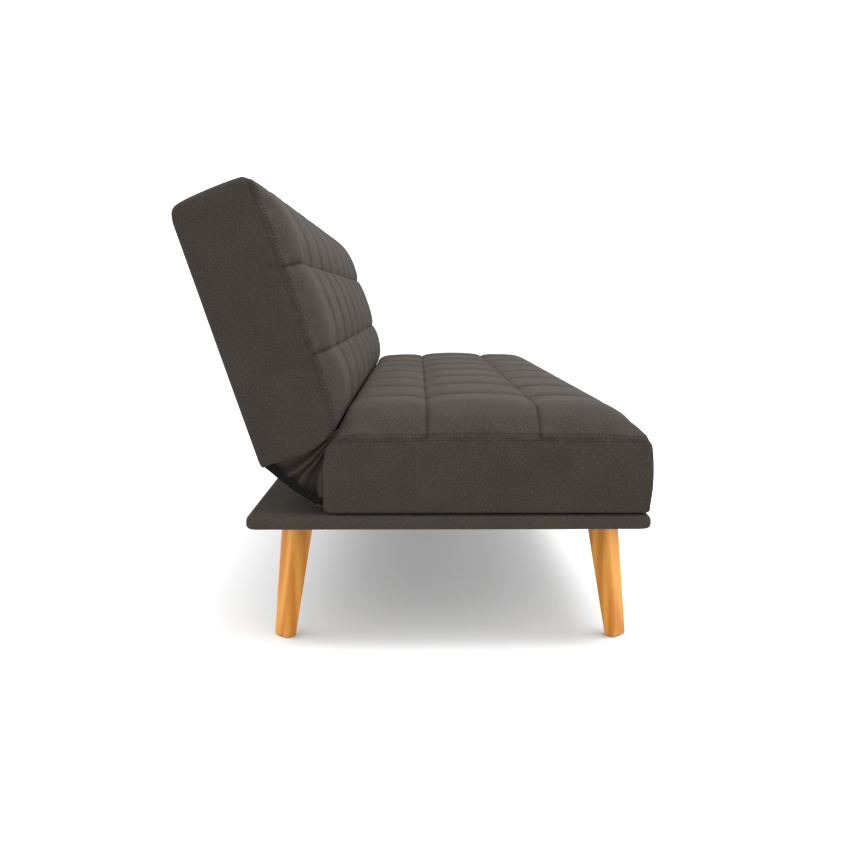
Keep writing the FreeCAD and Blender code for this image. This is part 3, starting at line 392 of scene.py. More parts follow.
# %% [markdown]
# ## A stuffed cover
# Both cushions are a boxed cover: a quilted panel, four sides and a plain panel, sewn together at
# their edges. A box-shaped lattice holds them all as one closed surface, and its lines run along
# the seams. So the quilting stays sharp, and the cloth simulation can be held at the stitches and
# puff out between them, as quilting does.


# %% The lattice
CROWDING = 0.7


def spaced_lines(stops, cells):
    """Lattice lines between the seams at stops, crowded together beside each seam."""
    lines = [stops[0]]
    for low, high, count in zip(stops, stops[1:], cells):
        for step in range(1, count + 1):
            even = step / count
            eased = (1 - math.cos(math.pi * even)) / 2
            lines.append(low + (high - low) * ((1 - CROWDING) * even + CROWDING * eased))
    return np.array(lines)


class Lattice:
    """The surface of a box-shaped lattice: numbered points, outward quads and cloth UVs."""

    def __init__(self, along, across, levels):
        self.lines = (along, across, levels)
        self.last = tuple(len(line) - 1 for line in self.lines)
        self.index = {}
        for key in np.ndindex(*(count + 1 for count in self.last)):
            if any(key[axis] in (0, self.last[axis]) for axis in range(3)):
                self.index[key] = len(self.index)
        self.keys = np.array(list(self.index))
        self.faces = []
        self.uvs = []
        for axis in range(3):
            first, second = [(1, 2), (2, 0), (0, 1)][axis]
            for side in (0, self.last[axis]):
                self.add_side(axis, side, first, second)

    def add_side(self, axis, side, first, second):
        """The quads of one side of the box. The lower one is wound the other way, to face out."""
        ring = [(0, 0), (1, 0), (1, 1), (0, 1)]
        if side == 0:
            ring = ring[::-1]
        for a in range(self.last[first]):
            for b in range(self.last[second]):
                face = []
                for step_a, step_b in ring:
                    key = [0, 0, 0]
                    key[axis], key[first], key[second] = side, a + step_a, b + step_b
                    face.append(self.index[tuple(key)])
                    flat = [line[number] for line, number in zip(self.lines, key)]
                    across, up = (0, 2) if axis == 1 else (first, second)
                    self.uvs.append((flat[across], flat[up]))
                self.faces.append(face)

    def nominal(self):
        """The lattice's own measures of every point."""
        return np.stack([self.lines[axis][self.keys[:, axis]] for axis in range(3)], axis=1)


# %% [markdown]
# ### Its shape at rest
# The quilted panel swells like a pillow between its seams. Each seam is a valley whose walls curve
# away from it, deepest where two seams cross. The sides bulge a little and are drawn in at the
# sewn edge and at the topstitching, and the edge of the plain panel is turned with a radius.

# %% Shape functions
def valley(distance, reach):
    """1 at a seam, falling to 0 at its reach, with a crease at the seam itself."""
    return (1 - np.clip(distance / reach, 0, 1)) ** 2


def shoulder(distance, reach):
    """0 at a sewn edge, rising steeply and then levelling off to 1 at its reach."""
    return (1 - (1 - np.clip(distance / reach, 0, 1)) ** 2) ** 0.8


def ease(value):
    """0 to 1 with a soft start and end."""
    value = np.clip(value, 0, 1)
    return value * value * (3 - 2 * value)


def ripple(first, second, seed):
    """A smooth, uneven wave over two measures, between about -1 and 1."""
    total = np.zeros_like(first)
    for turn, pace, weight in ((0.3, 1.0, 0.5), (1.9, 1.7, 0.3), (4.1, 2.9, 0.2)):
        bend = 0.9 * np.sin(second * pace * 0.37 + seed * turn)
        total += weight * np.sin(first * pace + bend + seed * 2.1 + turn)
    return total


def nearest_line(values, lines):
    return np.min(np.abs(values[:, None] - np.asarray(lines)[None, :]), axis=1)


def round_corners(along, across, half, depth, radius):
    """Turns the square corners of the plan into quarter circles."""
    p = np.clip((np.abs(along) - (half - radius)) / radius, 0, 1)
    low = np.clip((radius - across) / radius, 0, 1)
    high = np.clip((across - (depth - radius)) / radius, 0, 1)
    q = np.maximum(low, high)
    turned_p = p * np.sqrt(1 - q * q / 2)
    turned_q = q * np.sqrt(1 - p * p / 2)
    new_along = along + np.sign(along) * (turned_p - p) * radius
    new_across = across + np.where(low > high, 1, -1) * (q - turned_q) * radius
    return new_along, new_across


def turned_edge(level, radius):
    """How far a surface falls back, at a distance from an edge that is turned with a radius."""
    fall = np.clip((radius - level) / radius, 0, 1)
    return radius * (1 - np.sqrt(1 - fall * fall))


TOUCH = 1e-6
SEAM_PINCH = 3.4 * MM
SEAM_ROLL = 2.2 * MM
TOPSTITCH_DROP = 5 * MM
TOPSTITCH_PINCH = 0.9 * MM
# How much of the painted seam shade the sewn edges get, against 1 on the quilting seams.
EDGE_PAINTED_SHADE = 0.4
CORNER_FULLNESS = 0.6
ROW_TIGHTNESS = 0.45
COLUMN_CELLS = 20


class Cover:
    """One cushion's measures and the rules of its shape. The rules are given in millimetres."""

    seed = 1.0

    def __init__(self, name, depth, side, crown, rows, row_cells, levels, turn_shares, **rules):
        self.name = name
        self.half = cushion_length / 2
        self.depth = depth
        self.side = side
        self.crown = crown
        self.rows = rows
        self.columns = [(-0.5 + n / PANELS_ALONG) * cushion_length for n in range(PANELS_ALONG + 1)]
        self.turn_shares = turn_shares
        self.rules = {rule: value * MM for rule, value in rules.items()}
        across = spaced_lines([0.0, *rows, depth], row_cells)
        along = spaced_lines(self.columns, [COLUMN_CELLS] * PANELS_ALONG)
        self.lattice = Lattice(along, across, np.array(levels) * MM)
        self.flat = self.lattice.nominal()
        self.top = self.lattice.keys[:, 2] == self.lattice.last[2]
        self.plain = self.lattice.keys[:, 2] == 0
        u, v = self.flat[:, 0], self.flat[:, 1]
        self.to_end = self.half - np.abs(u)
        self.border = np.minimum(self.to_end, np.minimum(v, depth - v))
        self.to_quilting = np.minimum(nearest_line(u, self.columns[1:-1]),
                                      nearest_line(v, rows))
        self.to_sewn = np.minimum(nearest_line(u, self.columns), nearest_line(v, (0.0, depth)))

    def seam_height(self, across):
        """The sewn edge's height along an end: arched, and lower where the corner is turned."""
        rules = self.rules
        middle = 1 - ((across - self.depth / 2) / (self.depth / 2)) ** 2
        height = self.side - rules["arch"] * (1 - middle)
        height -= turned_edge(across, rules["turn_low"]) * self.turn_shares[0]
        height -= turned_edge(self.depth - across, rules["turn_high"]) * self.turn_shares[1]
        return height

    def quilted(self, along, across):
        """Height of the quilted panel above the sewn edge."""
        rules = self.rules
        to_end = self.half - np.abs(along)
        sides = [shoulder(to_end, rules["end_reach"]), shoulder(across, rules["low_reach"]),
                 shoulder(self.depth - across, rules["high_reach"])]
        edge = CORNER_FULLNESS * np.minimum.reduce(sides)
        edge += (1 - CORNER_FULLNESS) * sides[0] * sides[1] * sides[2]
        dome = rules["dome"] * np.sin(np.pi * np.clip(across / self.depth, 0, 1))
        to_column = nearest_line(along, self.columns[1:-1])
        to_row = nearest_line(across, self.rows)
        column = valley(to_column, rules["quilt_reach"])
        row = valley(to_row, rules["row_reach"])
        tight = np.maximum(valley(to_column, rules["crease_reach"]),
                           ROW_TIGHTNESS * valley(to_row, rules["crease_reach"]))
        sunk = rules["seam_sink"] * (column + row) + rules["cross_sink"] * column * row
        sunk += rules["crease_sink"] * tight
        border = np.minimum(to_end, np.minimum(across, self.depth - across))
        return (self.crown + dome) * edge - sunk * ease(border / (30 * MM) + 0.25)

    def points(self):
        """Every lattice point of the cover, in the cushion's own measures."""
        rules = self.rules
        along, across, level = self.flat.T
        height = self.seam_height(across)
        share = level / self.side
        bulge = rules["bulge"] * np.sin(np.pi * share) ** 0.6
        below_seam = self.side - level
        pinch = SEAM_PINCH * np.exp(-below_seam / (5 * MM))
        pinch += TOPSTITCH_PINCH * np.exp(-((below_seam - TOPSTITCH_DROP) / (1.6 * MM)) ** 2)
        round_the_side = along + across * np.sign(along)
        gathers = ripple(round_the_side * 420, level * 60, self.seed)
        pinch += 0.9 * MM * gathers * np.exp(-below_seam / (22 * MM)) * ease(below_seam / (4 * MM))
        end, low, high = (pinch - bulge + turned_edge(level, rules[name])
                          for name in ("edge_end", "edge_low", "edge_high"))
        u, v = round_corners(along, across, self.half, self.depth, rules["corner"])
        u = u * (1 - end / self.half)
        v = low + v * (self.depth - low - high) / self.depth
        t = share * height
        top, plain = self.top, self.plain
        t[top] += self.quilted(along[top], across[top])
        rolled = np.sin(np.pi * np.clip(self.border / (18 * MM), 0, 1))
        roll = np.where(top, SEAM_ROLL * rolled, 0)
        edge = self.border + TOUCH
        u += np.where(self.to_end <= edge, np.sign(along) * roll, 0)
        v += np.where(across <= edge, -roll, 0)
        v += np.where(self.depth - across <= edge, roll, 0)
        t[plain] -= rules["plain_puff"] * shoulder(self.border[plain], rules["puff_reach"])
        return self.shaped(np.stack([u, v, t], axis=1))

    def seam_edges(self, first, second):
        """Which edges of the mesh run along a seam, from the numbers of their two points."""
        lines = [self.top & (np.abs(self.flat[:, axis] - line) < TOUCH)
                 for axis, places in ((0, self.columns), (1, (0.0, *self.rows, self.depth)))
                 for line in places]
        return np.any([line[first] & line[second] for line in lines], axis=0)

    def painted_seam_shade(self):
        """Painted seam shade: 1 on the quilting seams, less on the sewn edges, and 0 one lattice line away."""
        on_quilting = self.top & (self.to_quilting < TOUCH)
        on_edge = self.top & (self.to_sewn < TOUCH)
        return np.where(on_quilting, 1.0, np.where(on_edge, EDGE_PAINTED_SHADE, 0.0))

    def held(self):
        """1 where stitches or the turned edge hold a point still in the simulation, else 0."""
        on_seam = self.top & (np.minimum(self.to_quilting, self.to_sewn) < TOUCH)
        return (on_seam | (self.lattice.keys[:, 2] <= 1)).astype(float)

    def near_seam(self):
        """1 beside a sewn edge, less beside a quilting seam, fading out, for the puckers."""
        to_edge = np.where(self.top, self.border, self.side - self.flat[:, 2])
        band = np.exp(-to_edge / (16 * MM))
        quilting = 0.6 * np.exp(-self.to_quilting / (12 * MM))
        return np.maximum(band, np.where(self.top, quilting, 0))


# %% [markdown]
# ### The two covers
# The seat's sides are 134.5 mm high, of which 4.5 mm hang below its CAD solid, and its rows are
# 191, 199 and 178 mm deep. The back is 150 mm thick and its rows are 153, 157 and 157 mm. Both
# have eight panels along the sofa.

# %% Seat and back covers
SEAT_LEVELS = [0, 3, 9, 20, 36, 54, 72, 89, 103, 113, 120, 124.5, 127, 129.5, 131.5, 134.5]
BACK_LEVELS = [0, 2.5, 7, 15, 27, 43, 61, 80, 98, 115, 127, 135.5, 140, 142.5, 145, 147, 150]
CHAMFER_RISE = 6 * MM
CHAMFER_RUN = 45 * MM
REAR_SAG = 4 * MM
TOP_FULLNESS = 4.5 * MM
TOP_TILT = 10 * MM
SEAT_RECESS = 5.5 * MM
SEAT_GATHER = 2.6 * MM
BACK_GATHER = 1.8 * MM
UNDERSIDE_LIMIT = -1 * MM
REAR_FACE_LIMIT = 2 * MM
CLEARANCE = 1 * MM


def chamfer(inwards):
    """How far the back's lower edge is cut away, at a depth behind its front face."""
    return CHAMFER_RISE * np.clip(1 - inwards / CHAMFER_RUN, 0, 1) ** 1.4


class SeatCover(Cover):
    """The seat. Its underside is raised inside its hem, and its rear corners are gathered."""

    def shaped(self, points):
        across, to_end = self.flat[:, 1], self.to_end
        raised = SEAT_RECESS * ease((self.border - 10 * MM) / (8 * MM))
        points[:, 2] += np.where(self.plain, raised, 0)
        from_corner = (self.depth - 30 * MM - across) / (45 * MM)
        near = np.exp(-(to_end / (70 * MM)) ** 2 - from_corner ** 2)
        folds = ripple(across * 300 + to_end * 110, to_end * 40, 2.6)
        points[:, 2] += np.where(self.top, SEAT_GATHER * folds * near, 0)
        return points


class BackCover(Cover):
    """The back. Its lower front edge is cut away where it meets the seat, its lower rear edge sags,
    its top leans forward, and its ends are gathered beside the crease."""

    seed = 3.0

    def shaped(self, points):
        along, across, level = self.flat.T
        fade = np.clip(1 - across / (110 * MM), 0, 1) ** 2
        points[:, 1] += chamfer(self.side - level) * fade
        points[:, 1] -= REAR_SAG * fade ** 2 * ease((80 * MM - level) / (60 * MM))
        lift = TOP_FULLNESS - TOP_TILT * (1 - level / self.side)
        points[:, 1] += lift * (across / self.depth) ** 3
        up, inwards = (across - 55 * MM) / (45 * MM), (self.side - 25 * MM - level) / (30 * MM)
        near = np.exp(-up ** 2 - inwards ** 2)
        folds = ripple(across * 330 - level * 60, level * 50, 1.2)
        gather = BACK_GATHER * np.sign(along) * folds * near
        points[:, 0] += np.where(self.to_end < TOUCH, gather, 0)
        return points


seat_cover = SeatCover(
    "seat_cushion", seat_depth, SEAT_SIDE, 48 * MM, [191 * MM, 390 * MM], [17, 17, 15],
    SEAT_LEVELS, (0.1, 0.4), arch=4.5, turn_low=14, turn_high=34, end_reach=105, low_reach=88,
    high_reach=62, dome=8, quilt_reach=50, row_reach=100, crease_reach=15, seam_sink=4.5,
    cross_sink=4, crease_sink=6, bulge=3.2, corner=8, plain_puff=0, puff_reach=1, edge_end=5,
    edge_low=5, edge_high=9,
)
back_cover = BackCover(
    "back_cushion", BACK_TOP - BACK_LOW, BACK_THICK, 31 * MM, [153 * MM, 310 * MM], [15, 14, 14],
    BACK_LEVELS, (0.37, 0.2), arch=3, turn_low=75, turn_high=22, end_reach=78, low_reach=130,
    high_reach=112, dome=4, quilt_reach=50, row_reach=80, crease_reach=16, seam_sink=4,
    cross_sink=4, crease_sink=7.5, bulge=2.5, corner=9, plain_puff=4.5, puff_reach=45, edge_end=3,
    edge_low=4, edge_high=18,
)
print("lattice points", len(seat_cover.flat), len(back_cover.flat))

# %% [markdown]
# ### Room for the motion
# The back's underside swings down onto the seat's rear face. Two limits keep the cushions apart.
# One lifts the back's lower edge clear of that face. The other keeps the seat's rear edge outside
# the back that leans on it.

# %% Limits
def seat_face_limit(points):
    """Keeps the back's underside clear of the seat's rear face, which it meets when flat."""
    up_back = from_pivot(points)[1]
    short = np.maximum(UNDERSIDE_LIMIT - up_back, 0)
    out = points.copy()
    out[:, 1] += short * math.sin(BACK_LEAN)
    out[:, 2] += short * math.cos(BACK_LEAN)
    return out


def back_surface_limit(points):
    """Keeps the seat's rear edge under and in front of the back that leans on it."""
    behind, up_back = from_pivot(points)
    across = np.clip(up_back - BACK_LOW, 0, back_cover.depth)
    to_end = back_cover.half - np.abs(points[:, 0])
    crown = back_cover.quilted(np.where(to_end > 110 * MM, 0.06, points[:, 0]), across)
    level = BACK_BEHIND - behind
    front = back_cover.seam_height(across) + np.maximum(crown, 0) + CLEARANCE
    under = BACK_LOW + chamfer(back_cover.side - level) - CLEARANCE
    inside = (level < front) & (up_back > under)
    by_drop = up_back - under
    by_front = front - level
    drop = inside & (by_drop <= by_front)
    forward = inside & ~drop
    out = points.copy()
    out[drop, 2] -= by_drop[drop] / math.cos(BACK_LEAN)
    out[forward, 1] -= by_front[forward] * math.cos(BACK_LEAN)
    out[forward, 2] += by_front[forward] * math.sin(BACK_LEAN)
    out[:, 1] = np.minimum(out[:, 1], pivot.y - REAR_FACE_LIMIT)
    return out


# %% [markdown]
# ### Puffing out between the stitches
# Blender's cloth fills each cover with air while the stitched points are held still. The cloth is
# cut two percent larger than the shape, so that it gathers beside the seams as sewn cloth does. No
# point moves more than a set distance, so the cushion keeps its size.

# %% Cloth simulation
PUFF_FRAMES = 20
PUFF_MOST = 4 * MM
CLOTH = {
    "quality": 5, "mass": 0.15, "tension_stiffness": 20, "compression_stiffness": 20,
    "shear_stiffness": 8, "bending_stiffness": 0.6, "air_damping": 2.0, "use_pressure": True,
    "uniform_pressure_force": 4.0, "shrink_min": -0.02,
}


def mesh_points(mesh):
    places = np.empty(len(mesh.vertices) * 3)
    mesh.vertices.foreach_get("co", places)
    return places.reshape(-1, 3)


def puff(item, held):
    """Runs the cloth on a copy and moves the item's points towards where it ends."""
    trial = new_item("trial", item.data.copy())
    group = trial.vertex_groups.new(name="stitched")
    for number in np.nonzero(held > 0)[0]:
        group.add([int(number)], float(held[number]), "REPLACE")
    cloth = trial.modifiers.new("cloth", "CLOTH")
    for name, value in CLOTH.items():
        setattr(cloth.settings, name, value)
    cloth.settings.vertex_group_mass = "stitched"
    cloth.settings.effector_weights.gravity = 0
    cloth.collision_settings.use_collision = False
    cloth.point_cache.frame_start = 1
    cloth.point_cache.frame_end = PUFF_FRAMES
    for number in range(1, PUFF_FRAMES + 1):
        bpy.context.scene.frame_set(number)
    start = mesh_points(item.data)
    shift = mesh_points(evaluated(trial).data) - start
    length = np.linalg.norm(shift, axis=1)
    limited = PUFF_MOST * np.tanh(length / PUFF_MOST)
    shift *= (limited / np.maximum(length, 1e-9))[:, None]
    item.data.vertices.foreach_set("co", (start + shift).ravel())
    item.data.update()
    bpy.data.objects.remove(trial, do_unlink=True)
    bpy.context.scene.frame_set(1)
    most, mean = float(length.max()) / MM, float(length.mean()) / MM
    print(item.name, "puffed", round(most, 1), "mm at most, mean", round(mean, 2))


def subdivide(item):
    """One level of smooth subdivision, applied."""
    item.modifiers.new("smooth", "SUBSURF").levels = 1
    return apply_modifiers(item)


def make_cushion(cover, place, limit):
    """The finished cushion of one cover, stood in its place."""
    points = cover.points()
    points[:, 1] += BACK_LOW if cover is back_cover else 0
    room = limit(place(points))
    item = new_object(cover.name, room, cover.lattice.faces, cover.lattice.uvs)
    ends = np.array([edge.vertices[:] for edge in item.data.edges])
    # One attribute marks where the puckers go, and one where shade is painted into the seams.
    for name, kind, values in (("near_seam", "POINT", cover.near_seam()),
                               ("painted_seam_shade", "POINT", cover.painted_seam_shade()),
                               ("crease_edge", "EDGE", cover.seam_edges(ends[:, 0], ends[:, 1]))):
        layer = item.data.attributes.new(name, "FLOAT", kind)
        layer.data.foreach_set("value", values.astype(np.float32))
    puff(item, cover.held())
    puffed = limit(mesh_points(item.data))
    item.data.vertices.foreach_set("co", puffed.ravel())
    item.data.materials.append(cushion_cloth)
    subdivide(item)
    print(cover.name, len(item.data.polygons), "quads")
    return item


seat_cushion = make_cushion(seat_cover, seat_place, back_surface_limit)
back_cushion = make_cushion(back_cover, back_place, seat_face_limit)

# %% [markdown]
# ## The wrapped platform
# A thin board in a padded wrap of a slightly lighter cloth. It is the same kind of lattice with
# turned edges, and the cloth lies slack enough on its top to wave a little.

# %% Platform wrap
platform_size = platform_box[1] - platform_box[0]
PLATFORM_LEVELS = np.array([0, 2, 5, 9, 15, 19, 22, 24]) / 24
PLATFORM_BORDER = 45 * MM
PLATFORM_CORNER = 10 * MM
EDGE_TURN = 8 * MM
EDGE_FULL = 2 * MM
SLACK_REACH = 30 * MM
SLACK_WAVE = 0.5 * MM
LINING_RECESS = 1 * MM
RECESS_STEP = 2 * MM


def make_platform():
    """The upholstered slab, with a recess underneath where the lining lies."""
    half = platform_size.x / 2
    depth = platform_size.y
    thick = platform_size.z
    border = PLATFORM_BORDER
    along = spaced_lines([-half, -half + border, half - border, half], [8, 90, 8])
    across = spaced_lines([0.0, border, depth - border, depth], [8, 34, 8])
    lattice = Lattice(along, across, PLATFORM_LEVELS * thick)
    x, y, z = lattice.nominal().T
    edge = np.minimum(half - np.abs(x), np.minimum(y, depth - y))
    middle = 1 - np.abs(2 * z / thick - 1)
    turn = EDGE_TURN * (1 - np.sqrt(1 - (1 - np.clip(middle * 1.3, 0, 1)) ** 2)) - EDGE_FULL
    u, v = round_corners(x, y, half, depth, PLATFORM_CORNER)
    u = u * (1 - turn / half)
    v = turn + v * (depth - 2 * turn) / depth
    t = z - EDGE_FULL * (1 - z / thick)
    top = lattice.keys[:, 2] == lattice.last[2]
    under = lattice.keys[:, 2] == 0
    wave = np.sin(x * 23 + 3 * np.sin(y * 9)) * np.sin(y * 31 + x * 5)
    wave += 0.5 * np.sin(x * 61 + y * 47)
    t[top] += (SLACK_WAVE * wave * np.clip(edge / SLACK_REACH, 0, 1))[top]
    inside = np.clip((edge[under] - border + RECESS_STEP) / RECESS_STEP, 0, 1)
    t[under] += (LINING_RECESS + EDGE_FULL) * inside
    room = np.stack([u, v + platform_box[0].y, t + platform_box[0].z], axis=1)
    item = new_object("platform_wrap", room, lattice.faces, lattice.uvs)
    item.data.materials.append(platform_cloth)
    return subdivide(item)


platform_wrap = make_platform()
print("platform", len(platform_wrap.data.polygons), "quads")

# %% [markdown]
# ## Gussets and lining in the crease
# Under the leaning back a wedge opens behind the seat. Folded cloth closes it at each end,
# gathered near the pivot and fanning out, and a black lining strip closes it along the rear. Both
# are drawn in polar measures about the pivot, because that is how they fold when the back goes
# down.

# %% Gussets
def polar_place(x, radius, angle):
    """A place at a radius from the hinge line and an angle below level, towards the rear."""
    return (x, pivot.y + radius * math.cos(angle), pivot.z - radius * math.sin(angle))


SEAT_FACE = math.pi / 2
WEDGE_TOP = BACK_LEAN
WEDGE_ANGLE = SEAT_FACE - WEDGE_TOP


def sheet_grid(name, columns, rows, wide, tall, place):
    """An open sheet, wide by tall when flat. A function of two shares places its points."""
    vertices = [place(a / columns, b / rows) for b in range(rows + 1) for a in range(columns + 1)]
    faces = []
    uvs = []
    for b in range(rows):
        for a in range(columns):
            corners = [(a, b), (a + 1, b), (a + 1, b + 1), (a, b + 1)]
            faces.append([x + y * (columns + 1) for x, y in corners])
            uvs += [(x / columns * wide, y / rows * tall) for x, y in corners]
    return new_object(name, vertices, faces, uvs)


def thicken(item, thickness):
    """Gives a sheet its thickness, applied."""
    wall = item.modifiers.new("wall", "SOLIDIFY")
    wall.thickness = thickness
    wall.offset = 0
    return apply_modifiers(item)


GUSSET_REACH = 103 * MM
GUSSET_FLAT = (130 * MM, 100 * MM)
# Where the gathered tip starts from the pivot, to the rear and up, at the back and at the seat.
BACK_APEX = (-34 * MM, 36 * MM)
SEAT_APEX = (-20 * MM, 10 * MM)
GUSSET_INSET = 12 * MM
GUSSET_THICK = 1.2 * MM
CHORD_MIDDLE = (SEAT_FACE + WEDGE_TOP) / 2


def chord_reach(angle):
    """The radius of the straight line that joins the seat's and the back's lower rear edges."""
    return GUSSET_REACH * math.cos(WEDGE_ANGLE / 2) / math.cos(angle - CHORD_MIDDLE)


# A pleat's edge: its share of the way from the back to the seat, and how far out it is, in mm.
PLEATS = [(0.0, -2.0), (0.1, -4.0), (0.18, -13.0), (0.29, 3.0), (0.36, 6.0), (0.44, -12.0),
          (0.53, 2.0), (0.6, -5.0), (0.68, -19.0), (0.78, -15.0), (0.85, 4.0), (0.92, 6.0),
          (1.0, 0.0)]
PLEAT_ROUNDING = 0.025


def fold(angle_share, radius_share):
    """How far the gusset stands out of its plane: pleats that fan out, in metres."""
    sway = math.sin(7 * radius_share + 5 * angle_share) * math.sin(math.pi * angle_share)
    drift = angle_share + 0.035 * sway
    near = (drift, min(drift + PLEAT_ROUNDING, 1), max(drift - PLEAT_ROUNDING, 0))
    places, depths = zip(*PLEATS)
    return sum(float(np.interp(share, places, depths)) for share in near) / 3 * MM


def make_gusset(name, side):
    """One gusset, gathered near the pivot and stretched to the chord between the cushions."""
    plane = side * (cushion_length / 2 - GUSSET_INSET)

    def place(a, b):
        angle = WEDGE_TOP + WEDGE_ANGLE * (-0.03 + 1.11 * a)
        ragged = 1 + 0.025 * math.sin(31 * a) * b * b + 0.02 * math.sin(13 * a + 2) * b
        swell = min(1, 0.15 + 1.5 * b) * (1 - 0.15 * b)
        radius = chord_reach(min(angle, SEAT_FACE)) * ragged * b
        x, y, z = polar_place(plane + side * fold(a, b) * swell, radius, angle)
        near = (1 - b) ** 3
        rearward, up = (first + (second - first) * a for first, second in zip(BACK_APEX, SEAT_APEX))
        return (x, y + rearward * near, z + up * near)

    item = sheet_grid(name, 96, 40, *GUSSET_FLAT, place)
    item.data.materials.append(cushion_cloth)
    return thicken(item, GUSSET_THICK)


gussets = {name: make_gusset(f"gusset_{name}_cloth", side)
           for name, side in (("left", -1), ("right", 1))}
print("gussets", {name: len(item.data.polygons) for name, item in gussets.items()}, "faces")

# %% [markdown]
# ### The strip behind the crease
# The lining sags between the cushions and waves along its length. At each end it turns up over the
# gusset's raw edge, and its own edge is ragged there.

# %% Hinge lining
LINING_FLAT = (cushion_length - 24 * MM, 130 * MM)
LINING_INSET = 14 * MM
LINING_CORNER = 0.02
LINING_LIP = 16 * MM
LINING_CURL = 10 * MM
LINING_SAG = 3.5 * MM
LINING_WAVE = 1.5 * MM
LINING_THICK = 1 * MM


def make_hinge_lining():
    """The black strip along the crease."""
    half = cushion_length / 2 - LINING_INSET

    def place(a, b):
        reach = abs(2 * a - 1)
        side = math.copysign(1, a - 0.5)
        end = max(reach - (1 - LINING_CORNER), 0) / LINING_CORNER
        x = min(reach / (1 - LINING_CORNER), 1) * half * side
        angle = WEDGE_TOP + WEDGE_ANGLE * (-0.02 + 1.02 * b)
        slack = math.sin(math.pi * b)
        wave = LINING_WAVE * math.sin(60 * x + 5 * math.sin(17 * x)) * slack
        ragged = 1 + 0.16 * math.sin(21 * b + side) + 0.1 * math.sin(57 * b)
        curl = side * (LINING_CURL * min(end * 3, 1) + LINING_WAVE * math.sin(19 * b) * end)
        rise = LINING_LIP * end * ragged
        radius = chord_reach(angle) * 1.03 + LINING_SAG * slack + wave - rise
        return polar_place(x + curl, radius, angle)

    item = sheet_grid("hinge_lining_cloth", 400, 28, *LINING_FLAT, place)
    item.data.materials.append(FINISHES["black_lining"])
    return thicken(item, LINING_THICK)


hinge_strip = make_hinge_lining()
print("lining", len(hinge_strip.data.polygons), "faces")

# %% [markdown]
# ## Tools for what repeats
# A thread repeats thousands of times along the seams. These two helpers draw curves, and run a
# Geometry Nodes tree on them and keep its result as a plain mesh.

# %% Geometry Nodes helpers
def run_tree(item, tree, values, name):
    """Runs a tree on an object and returns its result as a plain mesh object."""
    step = item.modifiers.new("nodes", "NODES")
    step.node_group = tree
    for identifier, value in values.items():
        step[identifier] = value
    mesh = bpy.data.meshes.new_from_object(evaluated(item))
    mesh.name = name
    bpy.data.objects.remove(item, do_unlink=True)
    return new_item(name, mesh)


def poly_curve(name, lines, closed):
    """Straight-run curves through lists of points."""
    data = bpy.data.curves.new(name, "CURVE")
    data.dimensions = "3D"
    for points in lines:
        spline = data.splines.new("POLY")
        spline.points.add(len(points) - 1)
        for point, co in zip(spline.points, points):
            point.co = (*co, 1)
        spline.use_cyclic_u = closed
    return new_item(name, data)


# %% [markdown]
# ## Stitches
# Every seam is sewn through, and the sewn edge carries a row of topstitching on each side of it.
# One tree lays short threads along any curve at an even pitch. The curves are read from the
# finished cushions, so the threads lie on the cloth wherever the simulation left it.

# %% Stitch tree
STITCH = {"Pitch": 6 * MM, "Length": 4 * MM, "Thickness": 1.4 * MM}


def stitch_tree():
    """Threads laid along curves: pitch, length, thickness and material are inputs."""
    tree = bpy.data.node_groups.new("stitches", "GeometryNodeTree")
    entry, leave = (tree.nodes.new(kind) for kind in ("NodeGroupInput", "NodeGroupOutput"))

    def socket(name, kind, way="INPUT"):
        kind = f"NodeSocket{kind}"
        return tree.interface.new_socket(name, in_out=way, socket_type=kind).identifier

    socket("Geometry", "Geometry")
    socket("Geometry", "Geometry", "OUTPUT")
    ids = {name: socket(name, "Float") for name in STITCH}
    ids["Thread"] = socket("Thread", "Material")
    points = add(tree, "GeometryNodeCurveToPoints", {"mode": "LENGTH"})
    ball = add(tree, "GeometryNodeMeshUVSphere", Segments=6, Rings=5, Radius=0.5)
    shape = add(tree, "ShaderNodeCombineXYZ")
    instances = add(tree, "GeometryNodeInstanceOnPoints")
    real = add(tree, "GeometryNodeRealizeInstances")
    paint = add(tree, "GeometryNodeSetMaterial")
    for source, output, target, name in (
            (entry, "Geometry", points, "Curve"), (entry, "Pitch", points, "Length"),
            (entry, "Thickness", shape, "X"), (entry, "Thickness", shape, "Y"),
            (entry, "Length", shape, "Z"), (points, "Points", instances, "Points"),
            (ball, "Mesh", instances, "Instance"), (points, "Rotation", instances, "Rotation"),
            (shape, "Vector", instances, "Scale"), (instances, "Instances", real, "Geometry"),
            (real, "Geometry", paint, "Geometry"), (entry, "Thread", paint, "Material"),
            (paint, "Geometry", leave, "Geometry")):
        tree.links.new(source.outputs[output], target.inputs[name])
    return tree, ids


stitches, stitch_ids = stitch_tree()


def ring_keys(lattice, level, inset=0):
    """The lattice points round a cover at one level, in order, some lines in from its sides."""
    high_u, high_v = lattice.last[0] - inset, lattice.last[1] - inset
    ring = [(i, inset, level) for i in range(inset, high_u)]
    ring += [(high_u, j, level) for j in range(inset, high_v)]
    ring += [(i, high_v, level) for i in range(high_u, inset, -1)]
    ring += [(inset, j, level) for j in range(high_v, inset, -1)]
    return ring


def line_number(lines, place):
    """Which lattice line is nearest to a place."""
    return int(np.argmin(np.abs(lines - place)))


